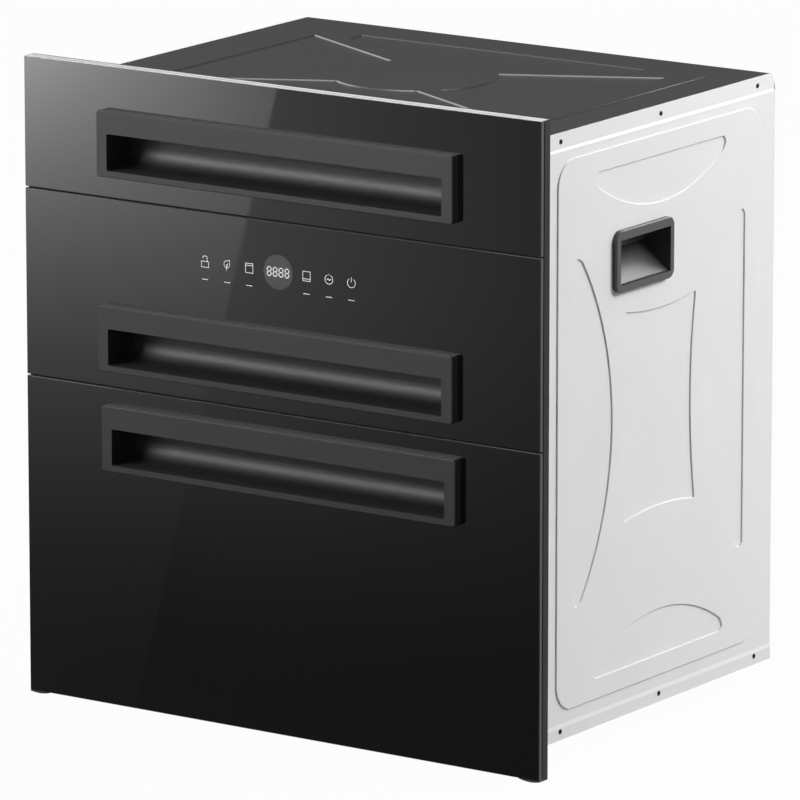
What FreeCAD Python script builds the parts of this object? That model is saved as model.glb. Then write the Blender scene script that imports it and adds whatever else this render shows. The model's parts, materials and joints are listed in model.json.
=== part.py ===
import FreeCAD, Part
import math
import os

# Dish sterilizer cabinet for building in: a steel body behind three glass drawer fronts.
# Millimetres.  X to the right, Y to the back, Z up.  While it is built, y = 0 is the face of
# the glass and z = 0 is the floor; write_node() moves it so that the origin is the middle of
# the footprint.

V = FreeCAD.Vector
X_AXIS = V(1, 0, 0)
Y_AXIS = V(0, 1, 0)
Z_AXIS = V(0, 0, 1)

# ---------------------------------------------------------------- driving dimensions
# Drawer fronts
FRONT_WIDTH = 600.0
FRONT_HEIGHT = 633.1
FLOOR_GAP = 3.0            # air under the lowest glass
UPPER_FRONT = 129.2        # middle of the upper seam to the top of the glass
MIDDLE_FRONT = 186.3       # seam to seam; the lowest drawer takes the rest
SEAM_GAP = 1.8
GLASS_THICKNESS = 4.0
GLASS_BEVEL = 0.5

# Moulded pulls
PULL_SIDE_INSET = 93.3     # side edge of the front to the bezel
PULL_HEIGHT = 64.6
PULL_PROUD = 9.7
PULL_CORNER = 2.0
PULL_EDGE = 0.7
PULL_SIDE_BORDER = 12.2
PULL_TOP_BORDER = 22.0
PULL_BOTTOM_BORDER = 6.5
PULL_DEPTH = 40.0          # bezel face to the back of the cup
PULL_SCOOP_RADIUS = 18.0
PULL_HOOK_RISE = 12.0      # finger room above the mouth
PULL_HOOK_RADIUS = 6.0
PULL_LIP = 4.0             # thickness of the bezel in front of the finger room
PULL_WALL = 2.0
PULL_MOUTH_BEVEL = 1.2
PULL_HOLE_CLEARANCE = 0.5
UPPER_PULL_RISE = 22.3     # bezel bottom above the seam
MIDDLE_PULL_RISE = 17.1
LOWER_PULL_DROP = 17.1     # bezel top below the seam
LOWER_PULL_SHIFT = 3.5     # the lowest pull sits a little to the right

# Front frame
FRAME_GAP = 1.6            # glass back to frame face
FRAME_DEPTH = 9.0
FRAME_SHEET = 1.2
FRAME_STILE = 57.0
FRAME_RAIL = 34.0
FRAME_TOP_RAIL = 38.0
FRAME_BOTTOM_RAIL = 41.0
FIXING_HOLE_RADIUS = 2.4
FIXING_SIDE_INSET = 12.0
FIXING_END_INSET = 76.55
END_CAP_LENGTH = 24.0
END_CAP_THICKNESS = 2.0
END_CAP_PLUG = 10.0
END_CAP_RISE = 1.2
END_CAP_TONGUE_INSET = 4.0  # the tongue behind the frame stays out of sight
END_CAP_CLEARANCE = 0.3

# Body
BODY_SIDE_INSET = 23.6     # side edge of the front to the body
BODY_DEPTH = 446.6         # face of the glass to the back edges
BODY_BELOW_FRONT = 24.3    # top of the body under the top of the front
BODY_ABOVE_GLASS = 21.2    # underside of the body over the bottom of the glass
SHEET = 0.8
BASE_SHEET = 1.0
BACK_CORNER = 8.0
FLANGE = 14.0
TRAY_LIP = 15.2
TRAY_BEVEL = 3.5
TOP_JOGGLE = 1.2
TOP_JOGGLE_HEIGHT = 15.6
TOP_JOGGLE_SLOPE = 2.6
COVER_CLEARANCE = 0.2
COVER_FLANGE = 18.0

# Pressed patterns
PRESS_DEPTH = 1.5
PRESS_SLOPE = 1.2
LOBE_TIP = 12.0            # blunt ends of the bowed fields
PLATE_CORNER = 27.0
PLATE_MARGIN = 27.0
PLATE_FRONT_MARGIN = 48.0
SIDE_LOBE_CHORD = 338.0
SIDE_LOBE_RISE = 68.0
SIDE_LOBE_INSET = 27.5
END_LOBE_CHORD = 230.0
END_LOBE_RISE = 47.0
END_LOBE_INSET = 20.0
STAR_HALF_WIDTH = 63.5
STAR_HALF_HEIGHT = 103.5
STAR_SIDE_DIP = 8.5
STAR_END_DIP = 6.0
COVER_PLATE_MARGIN = 41.4
COVER_PLATE_CORNER = 14.0
COVER_PLATE_BACK_MARGIN = 50.0
COVER_LOBE_MARGIN = 27.0
COVER_BOSS_RADIUS = 80.0
COVER_RIB_WIDTH = 19.0
COVER_RIB_SLOPE = 27.3     # degrees from the X axis
COVER_RIB_OFFSET = 30.0    # where a rib's line meets the middle line
COVER_END_LOBE_HALF = 168.0
COVER_END_LOBE_INSET = 14.0

# Carry cups
CUP_LENGTH = 100.4
CUP_HEIGHT = 60.0
CUP_PROUD = 5.2            # over the pressed face of the panel
CUP_CORNER = 9.0
CUP_CENTRE_Y = 206.4
CUP_TOP_BELOW_BODY = 109.2
CUP_SIDE_BORDER = 6.5
CUP_TOP_BORDER = 9.0
CUP_BOTTOM_BORDER = 7.2
CUP_DEPTH = 30.0
CUP_SLOPE_TOP = 27.7       # height at which the scoop meets the rear wall
CUP_HOOK_RISE = 3.5
CUP_LIP = 2.0
CUP_EDGE = 0.6
CUP_WALL = 2.0
CUP_HOLE_CLEARANCE = 0.5

# Inner cabinets
LINER_SHEET = 0.6
MACHINE_SPACE = 43.0       # back of the inner cabinets to the back panel
SUPPORT_WIDTH = 40.0
SUPPORT_SHEET = 1.2
SUPPORT_INSET = 88.0
MAT_CLEARANCE = 0.3
SIDE_MAT_THICKNESS = 22.0
MAT_FRONT_Y = 45.0
VENT_SLOT_LENGTH = 60.0
VENT_SLOT_HEIGHT = 4.0
VENT_SLOT_PITCH = 12.0
VENT_SLOTS = 5

# Slides
RAIL_FRONT_Y = 44.0
RAIL_END_GAP = 8.0         # slide to the back of the inner cabinet
RAIL_SHEET = 1.2
RAIL_THICKNESS = 12.7
OUTER_RAIL_HEIGHT = 45.0
MIDDLE_RAIL_HEIGHT = 34.0
INNER_RAIL_HEIGHT = 23.6
OUTER_RAIL_DEPTH = 9.0
MIDDLE_RAIL_START = 4.2
MIDDLE_RAIL_DEPTH = 6.8
INNER_RAIL_DEPTH = 5.7
RAIL_CLEARANCE = 0.3
CAGE_LENGTH = 110.0
CAGE_WIDTH = 3.2
CAGE_INSET = 16.0
UPPER_RAIL_RISE = 27.0     # slide centre over the bottom of its opening
MIDDLE_RAIL_RISE = 66.0
LOWER_RAIL_RISE = 106.0

# Drawer boxes
PAN_CLEARANCE = 3.0
PAN_SHEET = 0.8
PAN_BACK_Y = 36.0
PAN_FLANGE = 5.0
PAN_BEVEL = 2.5
GASKET_WIDTH = 7.0
GASKET_GAP = 1.0
GASKET_CLEARANCE = 0.3
ARM_SHEET = 1.0
ARM_SHELF = 9.5
ARM_TAB = 26.0
RIM_RADIUS = 2.5
RIM_SIDES = 8
WIRE_RADIUS = 1.5
BASKET_SIDE_GAP = 4.5      # basket rim to the drawer's side arm
BASKET_FRONT_Y = 46.0
BASKET_BACK_GAP = 36.0     # basket to the back of the inner cabinet
WIRE_PITCH_X = 89.0
WIRE_PITCH_Y = 64.0
UPPER_RIM_RISE = 29.0      # basket rim over the slide centre
MIDDLE_RIM_RISE = 40.0
LOWER_RIM_RISE = 40.0
UPPER_BASKET_DEPTH = 46.0
MIDDLE_BASKET_DEPTH = 96.0
LOWER_BASKET_DEPTH = 132.0
RACK_HEIGHT = 48.0
RACK_PITCH = 26.0
RACK_COLUMNS = 4
RACK_HALF_GAP = 45.0
MAGNET = (12.0, 5.0, 18.0)
MAGNET_DROP = 8.0

# Feet
FOOT_WIDTH = 32.0
FOOT_BEVEL = 2.0
FOOT_X = 198.0
FOOT_FRONT_Y = 62.0
FOOT_BACK_INSET = 44.6

# Screws
SCREW_RADIUS = 1.5
SCREW_LENGTH = 8.0
SCREW_HEAD_RADIUS = 2.3
SCREW_HEAD_HEIGHT = 0.8
SCREW_CLEARANCE = 0.15
SIDE_SCREW_FRONT_Y = 70.0
SIDE_SCREW_BACK_INSET = 30.6
TOP_SCREW_DROP = 8.8
BASE_SCREW_RISE = 8.5
BACK_SCREW_INSET = 7.5
BACK_SCREW_END_INSET = 51.0

# Lamps and heaters
LAMP_RADIUS = 7.8
LAMP_LENGTH = 288.0
LAMP_CAP_RADIUS = 8.2
LAMP_CAP_LENGTH = 14.0
LAMP_SETBACK = 16.0        # tube centre to the back of the inner cabinet
UPPER_LAMP_RISE = 170.4    # over the floor of the upper cabinet
LOWER_LAMP_DROP = 33.6     # under the roof of the lower cabinet
HOLDER_WIDTH = 12.0
HOLDER_HEIGHT = 26.0
HOLDER_CLEARANCE = 0.1
HOLDER_BEVEL = 3.0
GUARD_WIRE_RADIUS = 1.2
GUARD_REACH = 9.0
GUARD_INSET = 10.0
GUARD_RISE = 4.0           # long wires beyond the tube or the reflector
GUARD_BARS = 3
HEATER_RADIUS = 5.5
HEATER_LENGTH = 330.0
HEATER_RISE = (34.0, 64.0)  # over the floor of the lower cabinet
HEATER_SETBACK = 14.0
REFLECTOR_SHEET = 0.8
REFLECTOR_HALF_HEIGHT = 16.0
REFLECTOR_END = 10.0       # bracket to the end of the tubes

# Machine space behind the inner cabinets; rises are over the floor of the upper cabinet
FAN_SIZE = 92.0
FAN_DEPTH = 22.0
FAN_BORE_RADIUS = 43.0
FAN_HUB_RADIUS = 15.0
FAN_BLADES = 7
FAN_BLADE_GAP = 2.0
FAN_BLADE_PITCH = 38.0
FAN_BLADE_THICKNESS = 1.6
FAN_SHAFT_RADIUS = 1.5
FAN_SHAFT_CLEARANCE = 0.05
FAN_BLADE_ROOT = 2.0       # blade end inside the hub
FAN_STRUT = 5.0
FAN_SHAFT_END = 1.5        # shaft end to the back of the hub
FAN_BEARING_FLOOR = 1.0
FAN_X = 95.0
FAN_RISE = 114.4
PTC_DEPTH = 12.0
PTC_FINS = 7
PTC_FIN = 1.6
PTC_RIM = 5.0
BOARD_X = -130.0
BOARD_RISE = 102.4
BOARD_SIZE = (150.0, 96.0)
BOARD_SHEET = 1.6
BOARD_STANDOFF = 6.0
BOARD_POST_RADIUS = 3.0
BOARD_POST_INSET = 5.0
BOARD_BLOCKS = (           # x span, z span and height over the board: coil, two relays, plugs
    ((-60.0, -22.0), (-34.0, 0.0), 22.0),
    ((-10.0, 8.0), (-36.0, -20.0), 15.0),
    ((16.0, 34.0), (-36.0, -20.0), 15.0),
    ((-60.0, 20.0), (28.0, 40.0), 9.0),
)
CAPACITOR_PLACE = (48.0, 10.0)
CAPACITOR_RADIUS = 8.0
CAPACITOR_HEIGHT = 20.0
CASE_GAP = 3.0
CASE_WALL = 2.0
CASE_DEPTH = 36.0
BALLAST_X = -130.0
BALLAST_RISE = 202.4
BALLAST_SIZE = (120.0, 22.0, 34.0)
OZONE_X = 95.0
OZONE_RISE = 24.4
OZONE_SIZE = (86.0, 24.0, 36.0)
MODULE_BEVEL = 3.0
EAR = (10.0, 2.0, 14.0)
CUTOUT_X = -60.0
CUTOUT_DROP = 53.6         # under the roof of the lower cabinet
CUTOUT_RADIUS = 8.0
CUTOUT_HEIGHT = 7.0
CUTOUT_FLANGE = (30.0, 1.0, 10.0)
CUTOUT_TAB = (1.0, 8.0, 6.0)
CUTOUT_TAB_X = 4.0
TERMINAL_SETBACK = 21.0    # from the back panel
TERMINAL_SIZE = (62.0, 20.0, 16.0)
TERMINAL_WAYS = 4
TERMINAL_SLOT = 10.0
TERMINAL_SEAT = 8.8        # screw seats over the tray
GLAND_SIDE_INSET = 71.4    # side of the body to the gland's and the terminals' middle
GLAND_Z = 72.0
GLAND_BORE_RADIUS = 4.2
GLAND_SHANK_RADIUS = 8.0
GLAND_NUT_RADIUS = 12.0
GLAND_PROUD = 8.0
GLAND_INSIDE = 12.0
BACK_VENT_LENGTH = 70.0
BACK_VENT_HEIGHT = 5.0
BACK_VENT_PITCH = 12.0
BACK_VENTS = 6
BACK_VENT_X = 110.0
BACK_VENT_RISE = 92.4
SENSOR = (8.0, 24.0, 14.0)
SENSOR_SETBACK = 1.0

# Control board behind the middle glass
CONTROL_RISE = 137.2       # centre over the lower seam
CONTROL_SIZE = (216.0, 34.0)
CONTROL_SHEET = 1.6
TOUCH_PAD_X = (-85.3, -59.4, -33.4, 33.4, 59.4, 85.3)
TOUCH_PAD_RADIUS = 4.5
DISPLAY_SIZE = (38.0, 18.0)
CONTROL_STANDOFF = 5.0
CONTROL_CLEARANCE = 0.3
CONTROL_POST_RADIUS = 4.0

# Hidden and repeated round pieces have a few flats instead of a round face
WIRE_SIDES = 6             # wires, screws and small posts
TUBE_SIDES = 12            # lamps, heaters, capacitor and thermostat
FAN_SIDES = 24             # fan bore and hubs

# Making
OVERCUT = 1.0              # how far a cutting shape reaches past what it cuts
BLANK_DEPTH = 5.0          # block that a pressed sheet is cut from

# ---------------------------------------------------------------- derived places
GLASS_BOTTOM = FLOOR_GAP
GLASS_TOP = FLOOR_GAP + FRONT_HEIGHT
UPPER_SEAM_Z = GLASS_TOP - UPPER_FRONT
LOWER_SEAM_Z = UPPER_SEAM_Z - MIDDLE_FRONT
FRAME_FRONT_Y = GLASS_THICKNESS + FRAME_GAP
FRAME_BACK_Y = FRAME_FRONT_Y + FRAME_DEPTH
OPENING_HALF = FRONT_WIDTH / 2 - FRAME_STILE
BODY_HALF = FRONT_WIDTH / 2 - BODY_SIDE_INSET
BODY_TOP = GLASS_TOP - BODY_BELOW_FRONT
BODY_BOTTOM = GLASS_BOTTOM + BODY_ABOVE_GLASS
BODY_BACK_Y = BODY_DEPTH
BACK_PANEL_Y = BODY_BACK_Y - 2 * SHEET
GLAND_X = BODY_HALF - GLAND_SIDE_INSET
PULL_LENGTH = FRONT_WIDTH - 2 * PULL_SIDE_INSET
MOUTH_LENGTH = PULL_LENGTH - 2 * PULL_SIDE_BORDER
MOUTH_HEIGHT = PULL_HEIGHT - PULL_TOP_BORDER - PULL_BOTTOM_BORDER
COVER_HALF = BODY_HALF - TOP_JOGGLE - SHEET - COVER_CLEARANCE
LINER_BACK_Y = BACK_PANEL_Y - MACHINE_SPACE
LINER_BACK_FACE_Y = LINER_BACK_Y + LINER_SHEET
RAIL_LENGTH = LINER_BACK_Y - RAIL_END_GAP - RAIL_FRONT_Y
BASKET_LENGTH = LINER_BACK_Y - BASKET_BACK_GAP - BASKET_FRONT_Y
LAMP_Y = LINER_BACK_Y - LAMP_SETBACK
HEATER_Y = LINER_BACK_Y - HEATER_SETBACK
FIXING_SPACING_X = FRONT_WIDTH - 2 * FIXING_SIDE_INSET
FIXING_SPACING_Z = FRONT_HEIGHT - 2 * FIXING_END_INSET
FOOT_BACK_Y = BODY_BACK_Y - FOOT_BACK_INSET
SIDE_SCREW_BACK_Y = BODY_BACK_Y - SIDE_SCREW_BACK_INSET
SIDE_SCREW_Y = (SIDE_SCREW_FRONT_Y, (SIDE_SCREW_FRONT_Y + SIDE_SCREW_BACK_Y) / 2,
                SIDE_SCREW_BACK_Y)
BACK_SCREW_Z = (BODY_BOTTOM + BACK_SCREW_END_INSET, BODY_TOP - BACK_SCREW_END_INSET)
ARM_X = OPENING_HALF - RAIL_THICKNESS
BASKET_HALF = ARM_X - ARM_SHEET - BASKET_SIDE_GAP - RIM_RADIUS
DEPTH_MIDDLE = (BACK_PANEL_Y + SHEET + GLAND_PROUD - PULL_PROUD) / 2


def drawer(glass, opening, pull_bottom, pull_x, rail_rise, rim_rise, basket_depth):
    """The heights that one drawer is built from."""
    rail_z = opening[0] + rail_rise
    return {"glass": glass, "opening": opening,
            "mouth": pull_bottom + PULL_BOTTOM_BORDER, "pull_x": pull_x,
            "rail_z": rail_z, "rim_z": rail_z + rim_rise,
            "floor_z": rail_z + rim_rise - basket_depth}


DRAWERS = {
    "upper": drawer((UPPER_SEAM_Z + SEAM_GAP / 2, GLASS_TOP),
                    (UPPER_SEAM_Z + FRAME_RAIL / 2, GLASS_TOP - FRAME_TOP_RAIL),
                    UPPER_SEAM_Z + UPPER_PULL_RISE, 0.0,
                    UPPER_RAIL_RISE, UPPER_RIM_RISE, UPPER_BASKET_DEPTH),
    "middle": drawer((LOWER_SEAM_Z + SEAM_GAP / 2, UPPER_SEAM_Z - SEAM_GAP / 2),
                     (LOWER_SEAM_Z + FRAME_RAIL / 2, UPPER_SEAM_Z - FRAME_RAIL / 2),
                     LOWER_SEAM_Z + MIDDLE_PULL_RISE, 0.0,
                     MIDDLE_RAIL_RISE, MIDDLE_RIM_RISE, MIDDLE_BASKET_DEPTH),
    "lower": drawer((GLASS_BOTTOM, LOWER_SEAM_Z - SEAM_GAP / 2),
                    (GLASS_BOTTOM + FRAME_BOTTOM_RAIL, LOWER_SEAM_Z - FRAME_RAIL / 2),
                    LOWER_SEAM_Z - LOWER_PULL_DROP - PULL_HEIGHT, LOWER_PULL_SHIFT,
                    LOWER_RAIL_RISE, LOWER_RIM_RISE, LOWER_BASKET_DEPTH),
}
LINERS = {
    "lower": (DRAWERS["lower"]["opening"][0], DRAWERS["lower"]["opening"][1]),
    "upper": (DRAWERS["middle"]["opening"][0], DRAWERS["upper"]["opening"][1]),
}
LOWER_FLOOR_Z, LOWER_ROOF_Z = LINERS["lower"]
UPPER_FLOOR_Z = LINERS["upper"][0]
UPPER_LAMP_Z = UPPER_FLOOR_Z + UPPER_LAMP_RISE
LOWER_LAMP_Z = LOWER_ROOF_Z - LOWER_LAMP_DROP
HEATER_Z = (LOWER_FLOOR_Z + HEATER_RISE[0], LOWER_FLOOR_Z + HEATER_RISE[1])
FAN_Z = UPPER_FLOOR_Z + FAN_RISE
BOARD_CENTRE = (BOARD_X, UPPER_FLOOR_Z + BOARD_RISE)
BALLAST_CENTRE = (BALLAST_X, UPPER_FLOOR_Z + BALLAST_RISE)
OZONE_CENTRE = (OZONE_X, UPPER_FLOOR_Z + OZONE_RISE)
CUTOUT_CENTRE = (CUTOUT_X, LOWER_ROOF_Z - CUTOUT_DROP)
BACK_VENT_Z = UPPER_FLOOR_Z + BACK_VENT_RISE


# ---------------------------------------------------------------- helpers
def box(x_span, y_span, z_span):
    """A block between two limits on each axis."""
    size = [span[1] - span[0] for span in (x_span, y_span, z_span)]
    return Part.makeBox(*size, V(x_span[0], y_span[0], z_span[0]))


def rod(start, end, radius):
    """A round bar between two points."""
    along = end - start
    return Part.makeCylinder(radius, along.Length, start, along)


def bar(start, end, radius, facing, sides=WIRE_SIDES):
    """A thin bar with a few flats, one of them facing the given way at the given radius."""
    along = end - start
    across = V(along.x, along.y, along.z).cross(facing).normalize()
    reach = radius / math.cos(math.pi / sides)
    corners = []
    for i in range(sides + 1):
        angle = 2 * math.pi * (i + 0.5) / sides
        corners.append(start + facing * (reach * math.cos(angle))
                       + across * (reach * math.sin(angle)))
    return Part.Face(Part.makePolygon(corners)).extrude(along)


def fuse(shapes):
    """One solid from shapes that overlap or share faces."""
    whole = shapes[0].fuse(shapes[1:]) if len(shapes) > 1 else shapes[0]
    return whole.removeSplitter()


def both_sides(shape):
    """The shape and its mirror image across the middle of the cabinet."""
    return [shape, shape.mirror(V(0, 0, 0), X_AXIS)]


def closed_wire(start, steps):
    """A closed wire in XY; a step is the next point, or an arc's through point and end."""
    here = V(*start, 0)
    edges = []
    for step in list(steps) + [start]:
        end = V(step[-2], step[-1], 0)
        if len(step) == 4:
            edges.append(Part.Arc(here, V(step[0], step[1], 0), end).toShape())
        elif here.distanceToPoint(end) > 1e-6:
            edges.append(Part.LineSegment(here, end).toShape())
        here = end
    return Part.Wire(edges)


def rounded(wire, radius):
    """The same outline with its outward corners rounded."""
    return wire.makeOffset2D(-radius, 2).makeOffset2D(radius, 0)


def rectangle(u_span, v_span, radius=0.0):
    """A rectangular wire in XY, with round corners if a radius is given."""
    corners = [(u_span[0], v_span[0]), (u_span[1], v_span[0]),
               (u_span[1], v_span[1]), (u_span[0], v_span[1])]
    wire = closed_wire(corners[0], corners[1:])
    return rounded(wire, radius) if radius else wire


def plate(wire, z_span):
    """A flat plate of the outline between two heights."""
    face = Part.Face(wire)
    face.translate(V(0, 0, z_span[0]))
    return face.extrude(V(0, 0, z_span[1] - z_span[0]))


def facing_front(shape, y):
    """Turn a shape drawn in XY upright: its X stays, its Y becomes Z, its Z runs to -Y."""
    shape = shape.copy()
    shape.rotate(V(0, 0, 0), X_AXIS, 90)
    shape.translate(V(0, y, 0))
    return shape


def facing_right(shape, x):
    """Turn a shape drawn in XY to face right: its X becomes Y, its Y becomes Z."""
    shape = shape.copy()
    shape.rotate(V(0, 0, 0), V(1, 1, 1), 120)
    shape.translate(V(x, 0, 0))
    return shape


def along_x(wire, x_span):
    """Extrude a section drawn as (y, z) along the width."""
    return facing_right(plate(wire, (0, x_span[1] - x_span[0])), x_span[0])


def along_y(wire, y_span):
    """Extrude a section drawn as (x, z) along the depth."""
    return facing_front(plate(wire, (0, y_span[1] - y_span[0])), y_span[1])


def frustum(wire, z_low, z_high, inset_low, inset_high):
    """A plateau whose outline narrows from one height to the other."""
    ends = []
    for z, inset in ((z_low, inset_low), (z_high, inset_high)):
        end = wire.makeOffset2D(-inset, 0) if inset else wire.copy()
        end.translate(V(0, 0, z))
        ends.append(end)
    return Part.makeLoft(ends, True, True)


def pressed_sheet(outline, thickness, plateau, sunk, cuts=()):
    """A pressed sheet with its outer face at z = 0: a raised plateau with sunk fields."""
    form = plate(outline, (-BLANK_DEPTH, 0.0)).fuse(frustum(plateau, 0, PRESS_DEPTH, 0, PRESS_SLOPE))
    for wire in sunk:
        form = form.cut(frustum(wire, 0, PRESS_DEPTH, PRESS_SLOPE, 0))
    for cut in cuts:
        form = form.cut(cut)
    inner = form.copy()
    inner.translate(V(0, 0, -thickness))
    return form.cut(inner)


def screw(point, axis):
    """A screw; its head stands on the point and faces along the axis."""
    head = bar(point, point + axis * SCREW_HEAD_HEIGHT, SCREW_HEAD_RADIUS, Z_AXIS)
    return head.fuse(bar(point - axis * SCREW_LENGTH, point, SCREW_RADIUS, Z_AXIS))


def screw_hole(point, axis):
    """The hole that a screw's shank passes with clearance."""
    return bar(point + axis * SCREW_LENGTH, point - axis * 2 * SCREW_LENGTH,
               SCREW_RADIUS + SCREW_CLEARANCE, Z_AXIS)


def drill(shape, screws):
    """Cut the shank holes of the given screws."""
    for point, axis in screws:
        shape = shape.cut(screw_hole(point, axis))
    return shape


def write_node(node, *solids):
    """Move the solids into the part's own frame and write them as one node."""
    moved = [solid.copy() for solid in solids]
    for solid in moved:
        solid.translate(V(0, -DEPTH_MIDDLE, 0))
    shape = moved[0] if len(moved) == 1 else Part.makeCompound(moved)
    shape.exportStep("parts/" + node + ".step")


# ---------------------------------------------------------------- screw places
def side_screws():
    """Screws through the side panels: into the cover at the top, from the tray below."""
    places = []
    for side in (-1, 1):
        for y in SIDE_SCREW_Y:
            top = V(side * (BODY_HALF - TOP_JOGGLE), y, BODY_TOP - TOP_SCREW_DROP)
            base = V(side * (BODY_HALF + BASE_SHEET), y, BODY_BOTTOM + BASE_SCREW_RISE)
            places += [(top, X_AXIS * side), (base, X_AXIS * side)]
    return places


def back_screws():
    """Screws that hold the back panel on the side panels' flanges."""
    x = BODY_HALF - SHEET - BACK_SCREW_INSET
    return [(V(side * x, BACK_PANEL_Y + SHEET, z), Y_AXIS)
            for side in (-1, 1) for z in BACK_SCREW_Z]


# ---------------------------------------------------------------- body panels
def bow_field(edge, mid, half_chord, rise, upright):
    """A sunk field between a straight side and a bowed side, with blunt tips."""
    tip = math.copysign(LOBE_TIP, rise)

    def at(u, v):
        return (u, v) if upright else (v, u)

    return closed_wire(at(edge, mid - half_chord), [
        at(edge, mid + half_chord), at(edge + tip, mid + half_chord),
        at(edge + rise, mid) + at(edge + tip, mid - half_chord)])


def side_pattern(y_span, z_span):
    """The five sunk fields of a side panel, inside its plateau."""
    y_mid = sum(y_span) / 2
    z_mid = sum(z_span) / 2
    fields = []
    for i, way in ((0, 1), (1, -1)):
        fields.append(bow_field(y_span[i] + way * SIDE_LOBE_INSET, z_mid, SIDE_LOBE_CHORD / 2,
                                way * SIDE_LOBE_RISE, True))
        fields.append(bow_field(z_span[i] + way * END_LOBE_INSET, y_mid, END_LOBE_CHORD / 2,
                                way * END_LOBE_RISE, False))
    w, h = STAR_HALF_WIDTH, STAR_HALF_HEIGHT
    fields.append(closed_wire((y_mid - w, z_mid - h), [
        (y_mid, z_mid - h + STAR_END_DIP, y_mid + w, z_mid - h),
        (y_mid + w - STAR_SIDE_DIP, z_mid, y_mid + w, z_mid + h),
        (y_mid, z_mid + h - STAR_END_DIP, y_mid - w, z_mid + h),
        (y_mid - w + STAR_SIDE_DIP, z_mid, y_mid - w, z_mid - h)]))
    return fields


def side_panel():
    """The right side panel: pressed sheet with a stepped top edge and two flanges."""
    y_span = (FRAME_BACK_Y, BODY_BACK_Y)
    z_span = (BODY_BOTTOM + BASE_SHEET, BODY_TOP)
    turn = BACK_CORNER * (1 - math.sqrt(0.5))
    outline = closed_wire((y_span[0], z_span[0]), [
        (y_span[1], z_span[0]), (y_span[1], z_span[1] - BACK_CORNER),
        (y_span[1] - turn, z_span[1] - turn, y_span[1] - BACK_CORNER, z_span[1]),
        (y_span[0], z_span[1])])
    plate_y = (FRAME_BACK_Y + PLATE_FRONT_MARGIN, BODY_BACK_Y - PLATE_MARGIN)
    plate_z = (BODY_BOTTOM + PLATE_MARGIN, BODY_TOP - PLATE_MARGIN)
    plateau = rectangle(plate_y, plate_z, PLATE_CORNER)
    step_z = BODY_TOP - TOP_JOGGLE_HEIGHT
    joggle = closed_wire((step_z - TOP_JOGGLE_SLOPE, 0), [
        (step_z, -TOP_JOGGLE), (BODY_TOP + OVERCUT, -TOP_JOGGLE), (BODY_TOP + OVERCUT, OVERCUT),
        (step_z - TOP_JOGGLE_SLOPE, OVERCUT)])
    joggle = along_x(joggle, (y_span[0] - OVERCUT, y_span[1] + OVERCUT))
    sheet = pressed_sheet(outline, SHEET, plateau, side_pattern(plate_y, plate_z), [joggle])
    sheet = facing_right(sheet, BODY_HALF)
    inner = BODY_HALF - SHEET
    flange_z = (BODY_BOTTOM + TRAY_LIP + COVER_CLEARANCE,
                step_z - TOP_JOGGLE_SLOPE - BACK_CORNER)
    front = box((inner - FLANGE, inner), (FRAME_BACK_Y, FRAME_BACK_Y + SHEET), flange_z)
    back = box((inner - FLANGE, inner), (BACK_PANEL_Y - SHEET, BACK_PANEL_Y), flange_z)
    panel = fuse([sheet, front, back])
    panel = panel.cut(cup_blank(CUP_HOLE_CLEARANCE))
    return drill(panel, side_screws() + back_screws())


def boss_crossing(slope, offset):
    """Where a line of this slope and offset leaves the round boss."""
    a = 1 + slope ** 2
    b = slope * offset
    x = (math.sqrt(b ** 2 - a * (offset ** 2 - COVER_BOSS_RADIUS ** 2)) - b) / a
    return x, slope * x + offset


def cover_fields(y_mid, y_half):
    """Four sunk fields round the boss in the middle of the top cover."""
    slope = math.tan(math.radians(COVER_RIB_SLOPE))
    shift = COVER_RIB_WIDTH / 2 / math.cos(math.radians(COVER_RIB_SLOPE))
    x_out = BODY_HALF - COVER_PLATE_MARGIN - COVER_LOBE_MARGIN
    x_end = COVER_END_LOBE_HALF
    low = COVER_RIB_OFFSET - shift
    high = COVER_RIB_OFFSET + shift
    y_far = y_half - COVER_END_LOBE_INSET
    fields = []
    for way in (-1, 1):
        x, y = boss_crossing(slope, low)
        reach = x_out * slope + low
        fields.append(closed_wire((way * x_out, y_mid - reach), [
            (way * x, y_mid - y),
            (way * COVER_BOSS_RADIUS, y_mid, way * x, y_mid + y),
            (way * x_out, y_mid + reach)]))
        x, y = boss_crossing(slope, high)
        reach = x_end * slope + high
        fields.append(closed_wire((-x_end, y_mid + way * y_far), [
            (-x_end, y_mid + way * reach), (-x, y_mid + way * y),
            (0, y_mid + way * COVER_BOSS_RADIUS, x, y_mid + way * y),
            (x_end, y_mid + way * reach), (x_end, y_mid + way * y_far)]))
    return fields


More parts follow.
